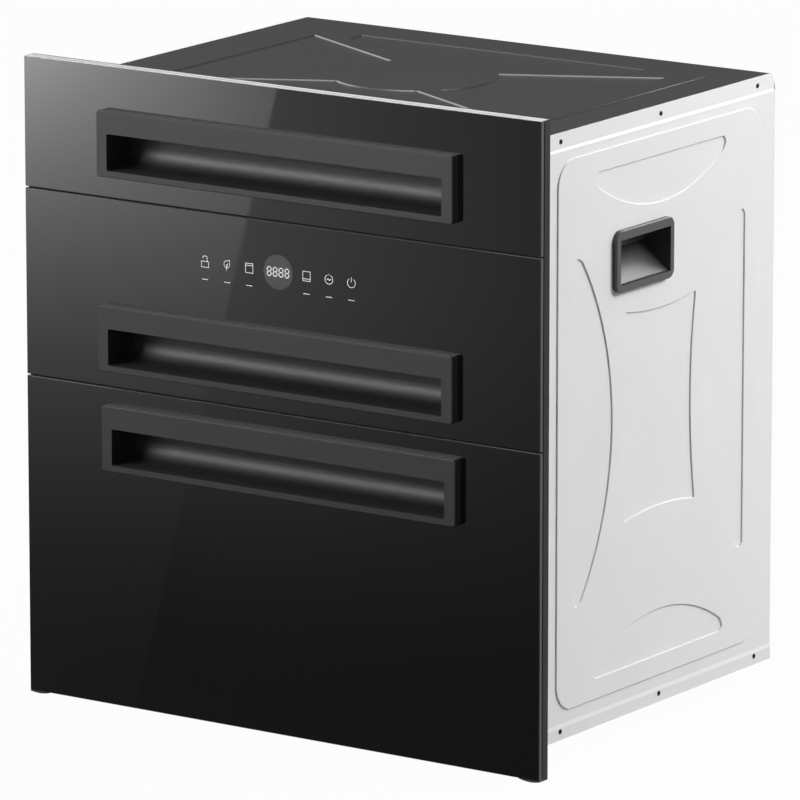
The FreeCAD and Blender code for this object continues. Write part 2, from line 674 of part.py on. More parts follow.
def top_cover():
    """The pressed top cover, rolled down at the back, with flanges inside the side panels."""
    back = BODY_BACK_Y - BACK_CORNER
    x_plate = BODY_HALF - COVER_PLATE_MARGIN
    y_back = BODY_BACK_Y - COVER_PLATE_BACK_MARGIN
    y_front = FRAME_BACK_Y + COVER_PLATE_BACK_MARGIN
    y_mid = (y_front + y_back) / 2
    plateau = rectangle((-x_plate, x_plate), (y_front, y_back), COVER_PLATE_CORNER)
    outline = rectangle((-COVER_HALF, COVER_HALF), (FRAME_BACK_Y, back))
    sheet = pressed_sheet(outline, SHEET, plateau, cover_fields(y_mid, (y_back - y_front) / 2))
    sheet.translate(V(0, 0, BODY_TOP))
    inner_r = BACK_CORNER - SHEET
    turn = math.sqrt(0.5)
    centre = (back, BODY_TOP - BACK_CORNER)
    low = BODY_TOP - COVER_FLANGE
    roll = closed_wire((back, BODY_TOP), [
        (centre[0] + BACK_CORNER * turn, centre[1] + BACK_CORNER * turn, BODY_BACK_Y, centre[1]),
        (BODY_BACK_Y, low), (BODY_BACK_Y - SHEET, low), (BODY_BACK_Y - SHEET, centre[1]),
        (centre[0] + inner_r * turn, centre[1] + inner_r * turn, back, BODY_TOP - SHEET)])
    roll = along_x(roll, (-COVER_HALF, COVER_HALF))
    flange = box((COVER_HALF - SHEET, COVER_HALF), (FRAME_BACK_Y + FLANGE, back - FLANGE),
                 (low, BODY_TOP - SHEET / 2))
    cover = fuse([sheet, roll] + both_sides(flange))
    return drill(cover, side_screws())


def back_panel():
    """The flat back with louvre slots for the machine space and the cable's hole."""
    half = BODY_HALF - SHEET - TOP_JOGGLE - COVER_CLEARANCE
    z_span = (BODY_BOTTOM + TRAY_LIP + COVER_CLEARANCE, BODY_TOP - BACK_CORNER - SHEET)
    through = (BACK_PANEL_Y - SHEET, BACK_PANEL_Y + 2 * SHEET)
    panel = box((-half, half), (BACK_PANEL_Y, BACK_PANEL_Y + SHEET), z_span)
    for x in (-BACK_VENT_X, BACK_VENT_X):
        for i in range(BACK_VENTS):
            z = BACK_VENT_Z + (i - (BACK_VENTS - 1) / 2) * BACK_VENT_PITCH
            panel = panel.cut(box((x - BACK_VENT_LENGTH / 2, x + BACK_VENT_LENGTH / 2), through,
                                  (z - BACK_VENT_HEIGHT / 2, z + BACK_VENT_HEIGHT / 2)))
    hole = rod(V(GLAND_X, through[0], GLAND_Z), V(GLAND_X, through[1], GLAND_Z),
               GLAND_SHANK_RADIUS + SCREW_CLEARANCE)
    return drill(panel.cut(hole), back_screws())


def base_tray():
    """The bottom: a sheet with lips, the side lips outside the side panels."""
    outer = BODY_HALF + BASE_SHEET
    top = BODY_BOTTOM + TRAY_LIP
    y_span = (FRAME_BACK_Y, BODY_BACK_Y)
    floor = box((-outer, outer), y_span, (BODY_BOTTOM, BODY_BOTTOM + BASE_SHEET))
    lip_section = closed_wire((BODY_HALF, BODY_BOTTOM), [
        (outer, BODY_BOTTOM), (outer, top - TRAY_BEVEL), (BODY_HALF, top)])
    lips = both_sides(along_y(lip_section, y_span))
    inner = BODY_HALF - SHEET - COVER_CLEARANCE
    front = box((-inner, inner), (y_span[0], y_span[0] + BASE_SHEET), (BODY_BOTTOM, top))
    back = box((-inner, inner), (y_span[1] - BASE_SHEET, y_span[1]), (BODY_BOTTOM, top))
    return drill(fuse([floor, front, back] + lips), side_screws())


def feet():
    """Four square rubber feet under the tray."""
    half = FOOT_WIDTH / 2
    foot = box((-half, half), (-half, half), (0, BODY_BOTTOM))
    sole = [e for e in foot.Edges if e.BoundBox.ZMax < BODY_BOTTOM / 2]
    foot = foot.makeChamfer(FOOT_BEVEL, sole)
    placed = []
    for x in (-FOOT_X, FOOT_X):
        for y in (FOOT_FRONT_Y, FOOT_BACK_Y):
            copy = foot.copy()
            copy.translate(V(x, y, 0))
            placed.append(copy)
    return placed


# ---------------------------------------------------------------- front frame
def opening_wire(opening, grow):
    """The outline of a drawer opening, made larger all round."""
    half = OPENING_HALF + grow
    return rectangle((-half, half), (opening[0] - grow, opening[1] + grow))


def front_frame():
    """A pressed frame with three openings; every edge is turned back."""
    half = FRONT_WIDTH / 2
    t = FRAME_SHEET
    frame = box((-half, half), (FRAME_FRONT_Y, FRAME_BACK_Y), (GLASS_BOTTOM, GLASS_TOP))
    hollow = box((-half + t, half - t), (FRAME_FRONT_Y + t, FRAME_BACK_Y + t),
                 (GLASS_BOTTOM + t, GLASS_TOP - t))
    for spec in DRAWERS.values():
        hollow = hollow.cut(along_y(opening_wire(spec["opening"], t), (0, FRAME_BACK_Y + t)))
        frame = frame.cut(along_y(opening_wire(spec["opening"], 0), (0, FRAME_BACK_Y + t)))
    frame = frame.cut(hollow)
    z_mid = (GLASS_BOTTOM + GLASS_TOP) / 2
    for x in (-FIXING_SPACING_X / 2, FIXING_SPACING_X / 2):
        for z in (z_mid - FIXING_SPACING_Z / 2, z_mid + FIXING_SPACING_Z / 2):
            frame = frame.cut(rod(V(x, 0, z), V(x, FRAME_BACK_Y, z), FIXING_HOLE_RADIUS))
    return frame


def frame_end_caps():
    """Moulded caps on the four corners; the lower ones wrap under the frame."""
    x_in = FRONT_WIDTH / 2 - END_CAP_LENGTH
    x_out = FRONT_WIDTH / 2
    gap = END_CAP_CLEARANCE
    bridge_y = (GLASS_THICKNESS + gap, FRAME_FRONT_Y)
    upper = box((x_in, x_out), bridge_y, (GLASS_TOP - END_CAP_THICKNESS, GLASS_TOP))
    top = GLASS_BOTTOM - gap
    low = top - END_CAP_THICKNESS
    sole = closed_wire((x_in, top), [
        ((x_in + x_out) / 2, low, x_out, low + END_CAP_RISE), (x_out, top)])
    sole = along_y(sole, (gap, FRAME_BACK_Y))
    tongue_x = BODY_HALF + BASE_SHEET + gap
    tongue = box((tongue_x, x_out - END_CAP_TONGUE_INSET),
                 (FRAME_BACK_Y, FRAME_BACK_Y + END_CAP_THICKNESS),
                 (low + END_CAP_RISE, GLASS_BOTTOM + END_CAP_PLUG))
    bridge = box((tongue_x, x_out), bridge_y, (top, GLASS_BOTTOM + END_CAP_THICKNESS))
    lower = fuse([sole, tongue, bridge])
    return both_sides(upper) + both_sides(lower)


# ---------------------------------------------------------------- carry cups
def cup_section(face_x, mouth):
    """The finger room of a carry cup behind its lip, drawn as (x, z)."""
    low, high = mouth
    start = face_x - CUP_LIP
    deep = face_x - CUP_DEPTH
    return closed_wire((start, low), [
        (start, high + CUP_HOOK_RISE), (deep, high + CUP_HOOK_RISE),
        (deep, low + CUP_SLOPE_TOP)])


def cup_places():
    """Face, bezel and mouth limits of the right carry cup."""
    face_x = BODY_HALF + PRESS_DEPTH + CUP_PROUD
    top = BODY_TOP - CUP_TOP_BELOW_BODY
    bezel_z = (top - CUP_HEIGHT, top)
    mouth_z = (bezel_z[0] + CUP_BOTTOM_BORDER, bezel_z[1] - CUP_TOP_BORDER)
    half = CUP_LENGTH / 2
    bezel_y = (CUP_CENTRE_Y - half, CUP_CENTRE_Y + half)
    mouth_y = (bezel_y[0] + CUP_SIDE_BORDER, bezel_y[1] - CUP_SIDE_BORDER)
    return face_x, bezel_y, bezel_z, mouth_y, mouth_z


def cup_blank(clearance=0.0):
    """The outside of the cup's shell, or the hole that it fits with a clearance."""
    face_x, _, _, mouth_y, mouth_z = cup_places()
    grow = CUP_WALL + clearance
    shell = cup_section(face_x, mouth_z).makeOffset2D(grow, 2)
    return along_y(shell, (mouth_y[0] - grow, mouth_y[1] + grow))


def carry_cup():
    """The right carry cup: a bezel with round corners and a scoop for the fingers."""
    face_x, bezel_y, bezel_z, mouth_y, mouth_z = cup_places()
    bezel = plate(rectangle(bezel_y, bezel_z, CUP_CORNER), (-CUP_PROUD, 0))
    rim = [e for e in bezel.Edges if e.BoundBox.ZMin > -CUP_PROUD / 2]
    bezel = facing_right(bezel.makeChamfer(CUP_EDGE, rim), face_x)
    mouth = box((face_x - CUP_LIP - OVERCUT, face_x + OVERCUT), mouth_y, mouth_z)
    front = box((face_x - CUP_PROUD, face_x + CUP_DEPTH), (0, BODY_DEPTH), (0, BODY_TOP))
    room = along_y(cup_section(face_x, mouth_z), mouth_y)
    return fuse([bezel, cup_blank().cut(front)]).cut(room).cut(mouth)


# ---------------------------------------------------------------- inner cabinets
def liner(name):
    """Five sheets, spot welded edge to edge; the back sheet of the upper one has slots."""
    low, high = LINERS[name]
    t = LINER_SHEET
    half = OPENING_HALF
    y_span = (FRAME_BACK_Y, LINER_BACK_Y)
    side = box((half, half + t), y_span, (low, high))
    floor = box((-half - t, half + t), y_span, (low - t, low))
    roof = box((-half - t, half + t), y_span, (high, high + t))
    back = box((-half - t, half + t), (LINER_BACK_Y, LINER_BACK_FACE_Y), (low - t, high + t))
    if name == "upper":
        for i in range(VENT_SLOTS):
            z = FAN_Z + (i - (VENT_SLOTS - 1) / 2) * VENT_SLOT_PITCH
            back = back.cut(box((FAN_X - VENT_SLOT_LENGTH / 2, FAN_X + VENT_SLOT_LENGTH / 2),
                                (LINER_BACK_Y - OVERCUT, LINER_BACK_FACE_Y + OVERCUT),
                                (z - VENT_SLOT_HEIGHT / 2, z + VENT_SLOT_HEIGHT / 2)))
    return both_sides(side) + [floor, roof, back]


def hat_rail(z_span, x_mid):
    """A folded support channel that runs from front to back, open underneath."""
    half = SUPPORT_WIDTH / 2
    t = SUPPORT_SHEET
    y_span = (MAT_FRONT_Y, LINER_BACK_Y - MAT_FRONT_Y)
    whole = box((x_mid - half, x_mid + half), y_span, z_span)
    return whole.cut(box((x_mid - half + t, x_mid + half - t), y_span, (z_span[0], z_span[1] - t)))


def liner_supports():
    """Channels under each inner cabinet."""
    x = OPENING_HALF - SUPPORT_INSET
    base = (BODY_BOTTOM + BASE_SHEET, LINERS["lower"][0] - LINER_SHEET)
    between = (LINERS["lower"][1] + LINER_SHEET, LINERS["upper"][0] - LINER_SHEET)
    return both_sides(hat_rail(base, x)) + both_sides(hat_rail(between, x))


def insulation_mats():
    """Mineral wool slabs beside the lower cabinet and between the two."""
    gap = MAT_CLEARANCE
    y_span = (MAT_FRONT_Y, LINER_BACK_Y - gap)
    start = OPENING_HALF + LINER_SHEET + gap
    low, high = LINERS["lower"]
    side = box((start, start + SIDE_MAT_THICKNESS), y_span, (low, high))
    z_span = (high + LINER_SHEET + gap, LINERS["upper"][0] - LINER_SHEET - gap)
    edge = OPENING_HALF - SUPPORT_INSET - SUPPORT_WIDTH / 2 - gap
    return both_sides(side) + [box((-edge, edge), y_span, z_span)]


# ---------------------------------------------------------------- slides
def rail_channel(x_wall, depth, height, way, z, y_front):
    """One folded slide member: web at x_wall, flanges reaching along the given way."""
    t = RAIL_SHEET
    far = x_wall + way * depth
    half = height / 2
    web = x_wall + way * t
    section = closed_wire((x_wall, z - half), [
        (far, z - half), (far, z - half + t), (web, z - half + t),
        (web, z + half - t), (far, z + half - t), (far, z + half), (x_wall, z + half)])
    return along_y(section, (y_front, y_front + RAIL_LENGTH))


def outer_rail(z):
    """The cabinet member, open towards the drawer."""
    return rail_channel(OPENING_HALF, OUTER_RAIL_DEPTH, OUTER_RAIL_HEIGHT, -1, z, RAIL_FRONT_Y)


def middle_rail(z):
    """The travelling member with its ball cages, above and below."""
    web = OPENING_HALF - MIDDLE_RAIL_START
    rail = rail_channel(web, MIDDLE_RAIL_DEPTH, MIDDLE_RAIL_HEIGHT, -1, z, RAIL_FRONT_Y)
    outer_face = OUTER_RAIL_HEIGHT / 2 - RAIL_SHEET - RAIL_CLEARANCE
    x_span = (web - RAIL_SHEET - CAGE_WIDTH, web - RAIL_SHEET)
    rear_end = RAIL_FRONT_Y + RAIL_LENGTH - CAGE_INSET
    cages = []
    for way in (-1, 1):
        z_span = sorted((z + way * MIDDLE_RAIL_HEIGHT / 2, z + way * outer_face))
        cages.append(box(x_span, (rear_end - CAGE_LENGTH, rear_end), z_span))
    return [rail] + cages


def inner_rail(z):
    """The drawer member, open towards the cabinet wall."""
    return rail_channel(ARM_X, INNER_RAIL_DEPTH, INNER_RAIL_HEIGHT, 1, z, RAIL_FRONT_Y)


# ---------------------------------------------------------------- drawer fronts
def pull_section(spec):
    """The finger room of a pull behind its lip, drawn as (y, z): floor, scoop, back and hook."""
    front = PULL_LIP - PULL_PROUD
    back = PULL_DEPTH - PULL_PROUD
    low = spec["mouth"]
    high = low + MOUTH_HEIGHT + PULL_HOOK_RISE
    turn = math.sqrt(0.5)
    r = PULL_SCOOP_RADIUS
    h = PULL_HOOK_RADIUS
    return closed_wire((front, low), [
        (back - r, low),
        (back - r + r * turn, low + r - r * turn, back, low + r),
        (back, high - h),
        (back - h + h * turn, high - h + h * turn, back - h, high),
        (front, high)])


def pull_mouth(spec):
    """Width and height limits of the pull's mouth."""
    half = MOUTH_LENGTH / 2
    x = spec["pull_x"]
    return (x - half, x + half), (spec["mouth"], spec["mouth"] + MOUTH_HEIGHT)


def pull_shell(spec, grow, y_span):
    """The outside of the cup's wall between two depths, grown by a clearance."""
    section = pull_section(spec).makeOffset2D(PULL_WALL + grow, 2)
    x_span, _ = pull_mouth(spec)
    reach = PULL_WALL + grow
    shell = along_x(section, (x_span[0] - reach, x_span[1] + reach))
    return shell.common(box((-FRONT_WIDTH, FRONT_WIDTH), y_span, (0, GLASS_TOP)))


def pull(spec):
    """A moulded pull: a proud bezel with a scooped cup and a finger hook behind its top."""
    half = PULL_LENGTH / 2
    low = spec["mouth"] - PULL_BOTTOM_BORDER
    x = spec["pull_x"]
    bezel = box((x - half, x + half), (-PULL_PROUD, 0), (low, low + PULL_HEIGHT))
    corners = [e for e in bezel.Edges if e.BoundBox.YLength > PULL_LIP]
    bezel = bezel.makeChamfer(PULL_CORNER, corners)
    rim = [e for e in bezel.Edges if e.BoundBox.YMax < -PULL_PROUD / 2]
    bezel = bezel.makeChamfer(PULL_EDGE, rim)
    x_span, z_span = pull_mouth(spec)
    mouth = box(x_span, (-PULL_PROUD - OVERCUT, PULL_LIP - PULL_PROUD + OVERCUT), z_span)
    corners = [e for e in mouth.Edges if e.BoundBox.YLength > PULL_LIP]
    mouth = mouth.makeChamfer(PULL_MOUTH_BEVEL, corners)
    room = along_x(pull_section(spec), x_span)
    return fuse([bezel, pull_shell(spec, 0, (0, PAN_BACK_Y))]).cut(room).cut(mouth)


def glass(spec):
    """A black-backed glass front with polished edges and a cut-out for the pull."""
    half = FRONT_WIDTH / 2
    pane = box((-half, half), (0, GLASS_THICKNESS), spec["glass"])
    rim = [e for e in pane.Edges if e.BoundBox.YMax < GLASS_THICKNESS / 2]
    pane = pane.makeChamfer(GLASS_BEVEL, rim)
    hole = pull_shell(spec, PULL_HOLE_CLEARANCE, (-OVERCUT, GLASS_THICKNESS + OVERCUT))
    return pane.cut(hole)


def pan(spec):
    """The folded inner shell of a front, glued to the glass by its turned-out flange."""
    t = PAN_SHEET
    shells = []
    for grow, back in ((-PAN_CLEARANCE, PAN_BACK_Y), (-PAN_CLEARANCE - t, PAN_BACK_Y - t)):
        shell = along_y(opening_wire(spec["opening"], grow), (GLASS_THICKNESS, back))
        rear = [e for e in shell.Edges if e.BoundBox.YMin > GLASS_THICKNESS + t]
        shells.append(shell.makeChamfer(PAN_BEVEL, rear))
    flange = along_y(opening_wire(spec["opening"], PAN_FLANGE - PAN_CLEARANCE),
                     (GLASS_THICKNESS, GLASS_THICKNESS + t))
    return fuse([shells[0], flange]).cut(shells[1])


def gasket(spec):
    """A flat sealing ring on the back of the glass, just clear of the closed frame."""
    grow = PAN_FLANGE - PAN_CLEARANCE + GASKET_GAP
    y_span = (GLASS_THICKNESS, FRAME_FRONT_Y - GASKET_CLEARANCE)
    ring = along_y(opening_wire(spec["opening"], grow + GASKET_WIDTH), y_span)
    return ring.cut(along_y(opening_wire(spec["opening"], grow), (0, FRAME_FRONT_Y)))


def magnet(spec):
    """The door sensor's magnet, inside the upper right corner of the pan."""
    x = OPENING_HALF - PAN_CLEARANCE - PAN_SHEET
    y = PAN_BACK_Y - PAN_SHEET
    z = spec["opening"][1] - PAN_CLEARANCE - MAGNET_DROP
    return box((x - MAGNET[0], x), (y - PAN_BEVEL - MAGNET[1], y - PAN_BEVEL),
               (z - MAGNET[2], z))


def control_board():
    """The touch board: six sprung pads and a four-digit display against the glass."""
    z_mid = LOWER_SEAM_Z + CONTROL_RISE
    half_x, half_z = CONTROL_SIZE[0] / 2, CONTROL_SIZE[1] / 2
    board_y = GLASS_THICKNESS + CONTROL_STANDOFF
    board_back = board_y + CONTROL_SHEET
    board = box((-half_x, half_x), (board_y, board_back), (z_mid - half_z, z_mid + half_z))
    touch_y = GLASS_THICKNESS + CONTROL_CLEARANCE
    pads = [bar(V(x, touch_y, z_mid), V(x, board_y, z_mid), TOUCH_PAD_RADIUS, Z_AXIS)
            for x in TOUCH_PAD_X]
    half_x, half_z = DISPLAY_SIZE[0] / 2, DISPLAY_SIZE[1] / 2
    display = box((-half_x, half_x), (touch_y, board_y), (z_mid - half_z, z_mid + half_z))
    post_z = z_mid - CONTROL_SIZE[1] / 4
    posts = [bar(V(x, board_back, post_z), V(x, PAN_BACK_Y - PAN_SHEET, post_z),
                 CONTROL_POST_RADIUS, Z_AXIS) for x in (TOUCH_PAD_X[0], TOUCH_PAD_X[-1])]
    return [board, display] + pads + posts


# ---------------------------------------------------------------- drawer boxes
def drawer_arms(spec):
    """Side arms on the inner rails, a shelf for the basket's rim and tabs for the front."""
    t = ARM_SHEET
    low = spec["rail_z"] - INNER_RAIL_HEIGHT / 2
    shelf = spec["rim_z"] - RIM_RADIUS
    end_y = BASKET_FRONT_Y + BASKET_LENGTH + 3 * RIM_RADIUS
    arm = box((ARM_X - t, ARM_X), (PAN_BACK_Y, end_y), (low, shelf))
    ledge = box((ARM_X - ARM_SHELF, ARM_X), (PAN_BACK_Y + t, end_y), (shelf - t, shelf))
    tab = box((ARM_X - ARM_TAB, ARM_X), (PAN_BACK_Y, PAN_BACK_Y + t), (low, shelf))
    sides = both_sides(fuse([arm, ledge, tab]))
    bar = box((-ARM_X, ARM_X), (end_y, end_y + t), (shelf - ARM_SHELF, shelf))
    return fuse(sides + [bar])


def wire_frame(y_span, z):
    """One rectangular frame of a basket, of four straight bars welded at the corners."""
    r = RIM_RADIUS
    reach = BASKET_HALF + r
    bars = [bar(V(-reach, y, z), V(reach, y, z), r, Z_AXIS, RIM_SIDES) for y in y_span]
    for x in (-BASKET_HALF, BASKET_HALF):
        bars.append(bar(V(x, y_span[0] + r, z), V(x, y_span[1] - r, z), r, Z_AXIS, RIM_SIDES))
    return bars


def spread(start, end, pitch):
    """Evenly spaced places between two ends, about one pitch apart and one in from each."""
    count = max(2, round((end - start) / pitch))
    step = (end - start) / count
    return [start + step * i for i in range(1, count)]


def basket(spec, rack):
    """A welded wire basket: rim, floor frame, uprights, floor wires and a plate rack."""
    y_span = (BASKET_FRONT_Y, BASKET_FRONT_Y + BASKET_LENGTH)
    top, low = spec["rim_z"], spec["floor_z"]
    solids = wire_frame(y_span, top) + wire_frame(y_span, low)
    inset = RIM_RADIUS + WIRE_RADIUS
    x_side = BASKET_HALF - inset
    across = spread(y_span[0], y_span[1], WIRE_PITCH_Y)
    half_step = (across[1] - across[0]) / 2
    for y in [across[0] - half_step] + [y + half_step for y in across]:
        for x in (-x_side, x_side):
            solids.append(bar(V(x, y, low), V(x, y, top), WIRE_RADIUS, X_AXIS))
    for x in spread(-BASKET_HALF, BASKET_HALF, WIRE_PITCH_X):
        for y in (y_span[0] + inset, y_span[1] - inset):
            solids.append(bar(V(x, y, low), V(x, y, top), WIRE_RADIUS, Y_AXIS))
    floor_z = low + inset
    for y in across:
        solids.append(bar(V(-BASKET_HALF, y, floor_z), V(BASKET_HALF, y, floor_z),
                          WIRE_RADIUS, Z_AXIS))
    if rack:
        solids += rack_pins(across[len(across) // 2], floor_z + WIRE_RADIUS)
    return solids


def rack_pins(y, base_z):
    """A row of plate supports that stand on one of the basket's floor wires."""
    solids = []
    for way in (-1, 1):
        for i in range(RACK_COLUMNS):
            foot = V(way * (RACK_HALF_GAP + i * RACK_PITCH), y, base_z)
            solids.append(bar(foot, foot + V(0, 0, RACK_HEIGHT), WIRE_RADIUS, Y_AXIS))
    return solids


# ---------------------------------------------------------------- lamps and heaters
def lamp(z):
    """A straight ultraviolet tube with its two end caps."""
    half = LAMP_LENGTH / 2
    cap = half + LAMP_CAP_LENGTH
    tube = bar(V(-half, LAMP_Y, z), V(half, LAMP_Y, z), LAMP_RADIUS, Z_AXIS, TUBE_SIDES)
    end = bar(V(half, LAMP_Y, z), V(cap, LAMP_Y, z), LAMP_CAP_RADIUS, Z_AXIS, TUBE_SIDES)
    return [tube] + both_sides(end)


def lamp_holders(z):
    """Sockets that stand on the back sheet; the lamp's end caps butt against them."""
    start = LAMP_LENGTH / 2 + LAMP_CAP_LENGTH + HOLDER_CLEARANCE
    block = box((start, start + HOLDER_WIDTH), (LAMP_Y - HOLDER_HEIGHT / 2, LINER_BACK_Y),
                (z - HOLDER_HEIGHT / 2, z + HOLDER_HEIGHT / 2))
    front = [e for e in block.Edges if e.BoundBox.YMax < LAMP_Y and e.BoundBox.XLength > 1]
    return both_sides(block.makeChamfer(HOLDER_BEVEL, front))


def wire_guard(half_x, y_tube, tube_radius, z_span):
    """A wire screen in front of a tube: long wires, cross wires and four legs to the back."""
    r = GUARD_WIRE_RADIUS
    y = y_tube - tube_radius - GUARD_REACH
    z_wires = (z_span[0] - GUARD_RISE, z_span[1] + GUARD_RISE)
    wires = []
    for z in z_wires:
        wires.append(bar(V(-half_x, y, z), V(half_x, y, z), r, Y_AXIS))
        for x in (-half_x + 2 * r, half_x - 2 * r):
            wires.append(bar(V(x, y + r, z), V(x, LINER_BACK_Y, z), r, Z_AXIS))
    low, high = z_wires[0] - 2 * r, z_wires[1] + 2 * r
    for i in range(GUARD_BARS):
        x = -half_x + 2 * half_x * (i + 0.5) / GUARD_BARS
        wires.append(bar(V(x, y - 2 * r, low), V(x, y - 2 * r, high), r, Y_AXIS))
    return wires


def heaters():
    """Quartz infrared tubes of the lower cabinet."""
    half = HEATER_LENGTH / 2
    return [bar(V(-half, HEATER_Y, z), V(half, HEATER_Y, z), HEATER_RADIUS, Z_AXIS, TUBE_SIDES)
            for z in HEATER_Z]


def reflector_span():
    """Bottom and top of the reflector."""
    return HEATER_Z[0] - REFLECTOR_HALF_HEIGHT, HEATER_Z[1] + REFLECTOR_HALF_HEIGHT


def heater_reflector():
    """A folded reflector behind the tubes with end brackets that carry them."""
    t = REFLECTOR_SHEET
    half = HEATER_LENGTH / 2
    low, high = reflector_span()
    back = box((-half, half), (LINER_BACK_Y - t, LINER_BACK_Y), (low, high))
    x = half - REFLECTOR_END
    bracket = box((x, x + t), (HEATER_Y - 2 * HEATER_RADIUS, LINER_BACK_Y), (low, high))
    shape = fuse([back] + both_sides(bracket))
    for z in HEATER_Z:
        shape = shape.cut(bar(V(-half, HEATER_Y, z), V(half, HEATER_Y, z),
                              HEATER_RADIUS + HOLDER_CLEARANCE, Z_AXIS, TUBE_SIDES))
    return shape


# ---------------------------------------------------------------- machine space
def fan_span():
    """Front and back of the fan's frame, behind the heating element."""
    front = LINER_BACK_FACE_Y + PTC_DEPTH
    return front, front + FAN_DEPTH


def ptc_heater():
    """The warm air element: a square rim filled with upright fins."""
    half = FAN_SIZE / 2
    y_span = (LINER_BACK_FACE_Y, LINER_BACK_FACE_Y + PTC_DEPTH)
    outer = box((FAN_X - half, FAN_X + half), y_span, (FAN_Z - half, FAN_Z + half))
    inner = half - PTC_RIM
    z_span = (FAN_Z - inner, FAN_Z + inner)
    rim = outer.cut(box((FAN_X - inner, FAN_X + inner), (0, BODY_DEPTH), z_span))
    fins = []
    for i in range(PTC_FINS):
        x = FAN_X - inner + 2 * inner * (i + 1) / (PTC_FINS + 1)
        fins.append(box((x - PTC_FIN / 2, x + PTC_FIN / 2), y_span, z_span))
    return fuse([rim] + fins)


def fan_frame():
    """The fan's square frame with a round bore, four struts and the motor hub."""
    half = FAN_SIZE / 2
    front, back = fan_span()
    centre = V(FAN_X, 0, FAN_Z)
    frame = box((FAN_X - half, FAN_X + half), (front, back), (FAN_Z - half, FAN_Z + half))
    frame = frame.cut(bar(centre, centre + V(0, BODY_DEPTH, 0), FAN_BORE_RADIUS, Z_AXIS,
                          FAN_SIDES))
    hub = bar(centre + V(0, back - FAN_STRUT, 0), centre + V(0, back, 0), FAN_HUB_RADIUS,
              Z_AXIS, FAN_SIDES)
    w = FAN_STRUT / 2
    reach = FAN_BORE_RADIUS + w
    struts = [box((FAN_X - reach, FAN_X + reach), (back - w, back), (FAN_Z - w, FAN_Z + w)),
              box((FAN_X - w, FAN_X + w), (back - w, back), (FAN_Z - reach, FAN_Z + reach))]
    frame = fuse([frame, hub] + struts)
    bearing = rod(centre, centre + V(0, back - FAN_BEARING_FLOOR, 0),
                  FAN_SHAFT_RADIUS + FAN_SHAFT_CLEARANCE)
    return frame.cut(bearing)


def fan_impeller():
    """An axial impeller: cup hub, pitched blades and the shaft that runs in the motor hub."""
    front, back = fan_span()
    y_span = (front + FAN_BLADE_GAP, back - FAN_STRUT - FAN_BLADE_GAP)
    centre = V(FAN_X, 0, FAN_Z)
    hub = bar(centre + V(0, y_span[0], 0), centre + V(0, y_span[1], 0), FAN_HUB_RADIUS,
              Z_AXIS, FAN_SIDES)
    shaft = rod(centre + V(0, sum(y_span) / 2, 0), centre + V(0, back - FAN_SHAFT_END, 0),
                FAN_SHAFT_RADIUS)
    solids = [hub, shaft]
    for i in range(FAN_BLADES):
        piece = blade(y_span[1] - y_span[0], i * 360 / FAN_BLADES)
        piece.translate(centre + V(0, sum(y_span) / 2, 0))
        solids.append(piece)
    return fuse(solids)


def blade(depth, angle):
    """One pitched blade about the Y axis, no deeper than the hub."""
    t = FAN_BLADE_THICKNESS / 2
    pitch = math.radians(FAN_BLADE_PITCH)
    chord = (depth / 2 - t * math.sin(pitch)) / math.cos(pitch) - t
    shape = box((-t, t), (-chord, chord),
                (FAN_HUB_RADIUS - FAN_BLADE_ROOT, FAN_BORE_RADIUS - FAN_BLADE_GAP))
    shape.rotate(V(0, 0, 0), Z_AXIS, FAN_BLADE_PITCH)
    shape.rotate(V(0, 0, 0), Y_AXIS, angle)
    return shape


def power_board():
    """The power board: circuit board on standoffs with its larger components."""
    x, z = BOARD_CENTRE
    half_x, half_z = BOARD_SIZE[0] / 2, BOARD_SIZE[1] / 2
    floor = LINER_BACK_FACE_Y + CASE_WALL
    top = floor + BOARD_STANDOFF + BOARD_SHEET
    solids = [box((x - half_x, x + half_x), (top - BOARD_SHEET, top), (z - half_z, z + half_z))]
    for x_span, z_span, height in BOARD_BLOCKS:
        solids.append(box((x + x_span[0], x + x_span[1]), (top, top + height),
                          (z + z_span[0], z + z_span[1])))
    place = V(x + CAPACITOR_PLACE[0], top, z + CAPACITOR_PLACE[1])
    solids.append(bar(place, place + V(0, CAPACITOR_HEIGHT, 0), CAPACITOR_RADIUS, Z_AXIS,
                      TUBE_SIDES))
    for px in (x - half_x + BOARD_POST_INSET, x + half_x - BOARD_POST_INSET):
        for pz in (z - half_z + BOARD_POST_INSET, z + half_z - BOARD_POST_INSET):
            solids.append(bar(V(px, floor, pz), V(px, top - BOARD_SHEET, pz),
                              BOARD_POST_RADIUS, Z_AXIS))
    return solids


def board_case():
    """An open plastic tray round the power board."""
    x, z = BOARD_CENTRE
    half_x, half_z = BOARD_SIZE[0] / 2 + CASE_GAP, BOARD_SIZE[1] / 2 + CASE_GAP
    w = CASE_WALL
    y = LINER_BACK_FACE_Y
    outer = box((x - half_x - w, x + half_x + w), (y, y + CASE_DEPTH),
                (z - half_z - w, z + half_z + w))
    return outer.cut(box((x - half_x, x + half_x), (y + w, y + 2 * CASE_DEPTH),
                         (z - half_z, z + half_z)))


def module(centre, size):
    """A closed module with bevelled edges, screwed to the liner's back by two ears."""
    x, z = centre
    half = size[0] / 2
    y = LINER_BACK_FACE_Y
    body = box((x - half, x + half), (y, y + size[1]), (z - size[2] / 2, z + size[2] / 2))
    edges = [e for e in body.Edges if e.BoundBox.YMin > y + size[1] / 2]
    ears = box((x - half - EAR[0], x + half + EAR[0]), (y, y + EAR[1]),
               (z - EAR[2] / 2, z + EAR[2] / 2))
    return fuse([body.makeChamfer(MODULE_BEVEL, edges), ears])


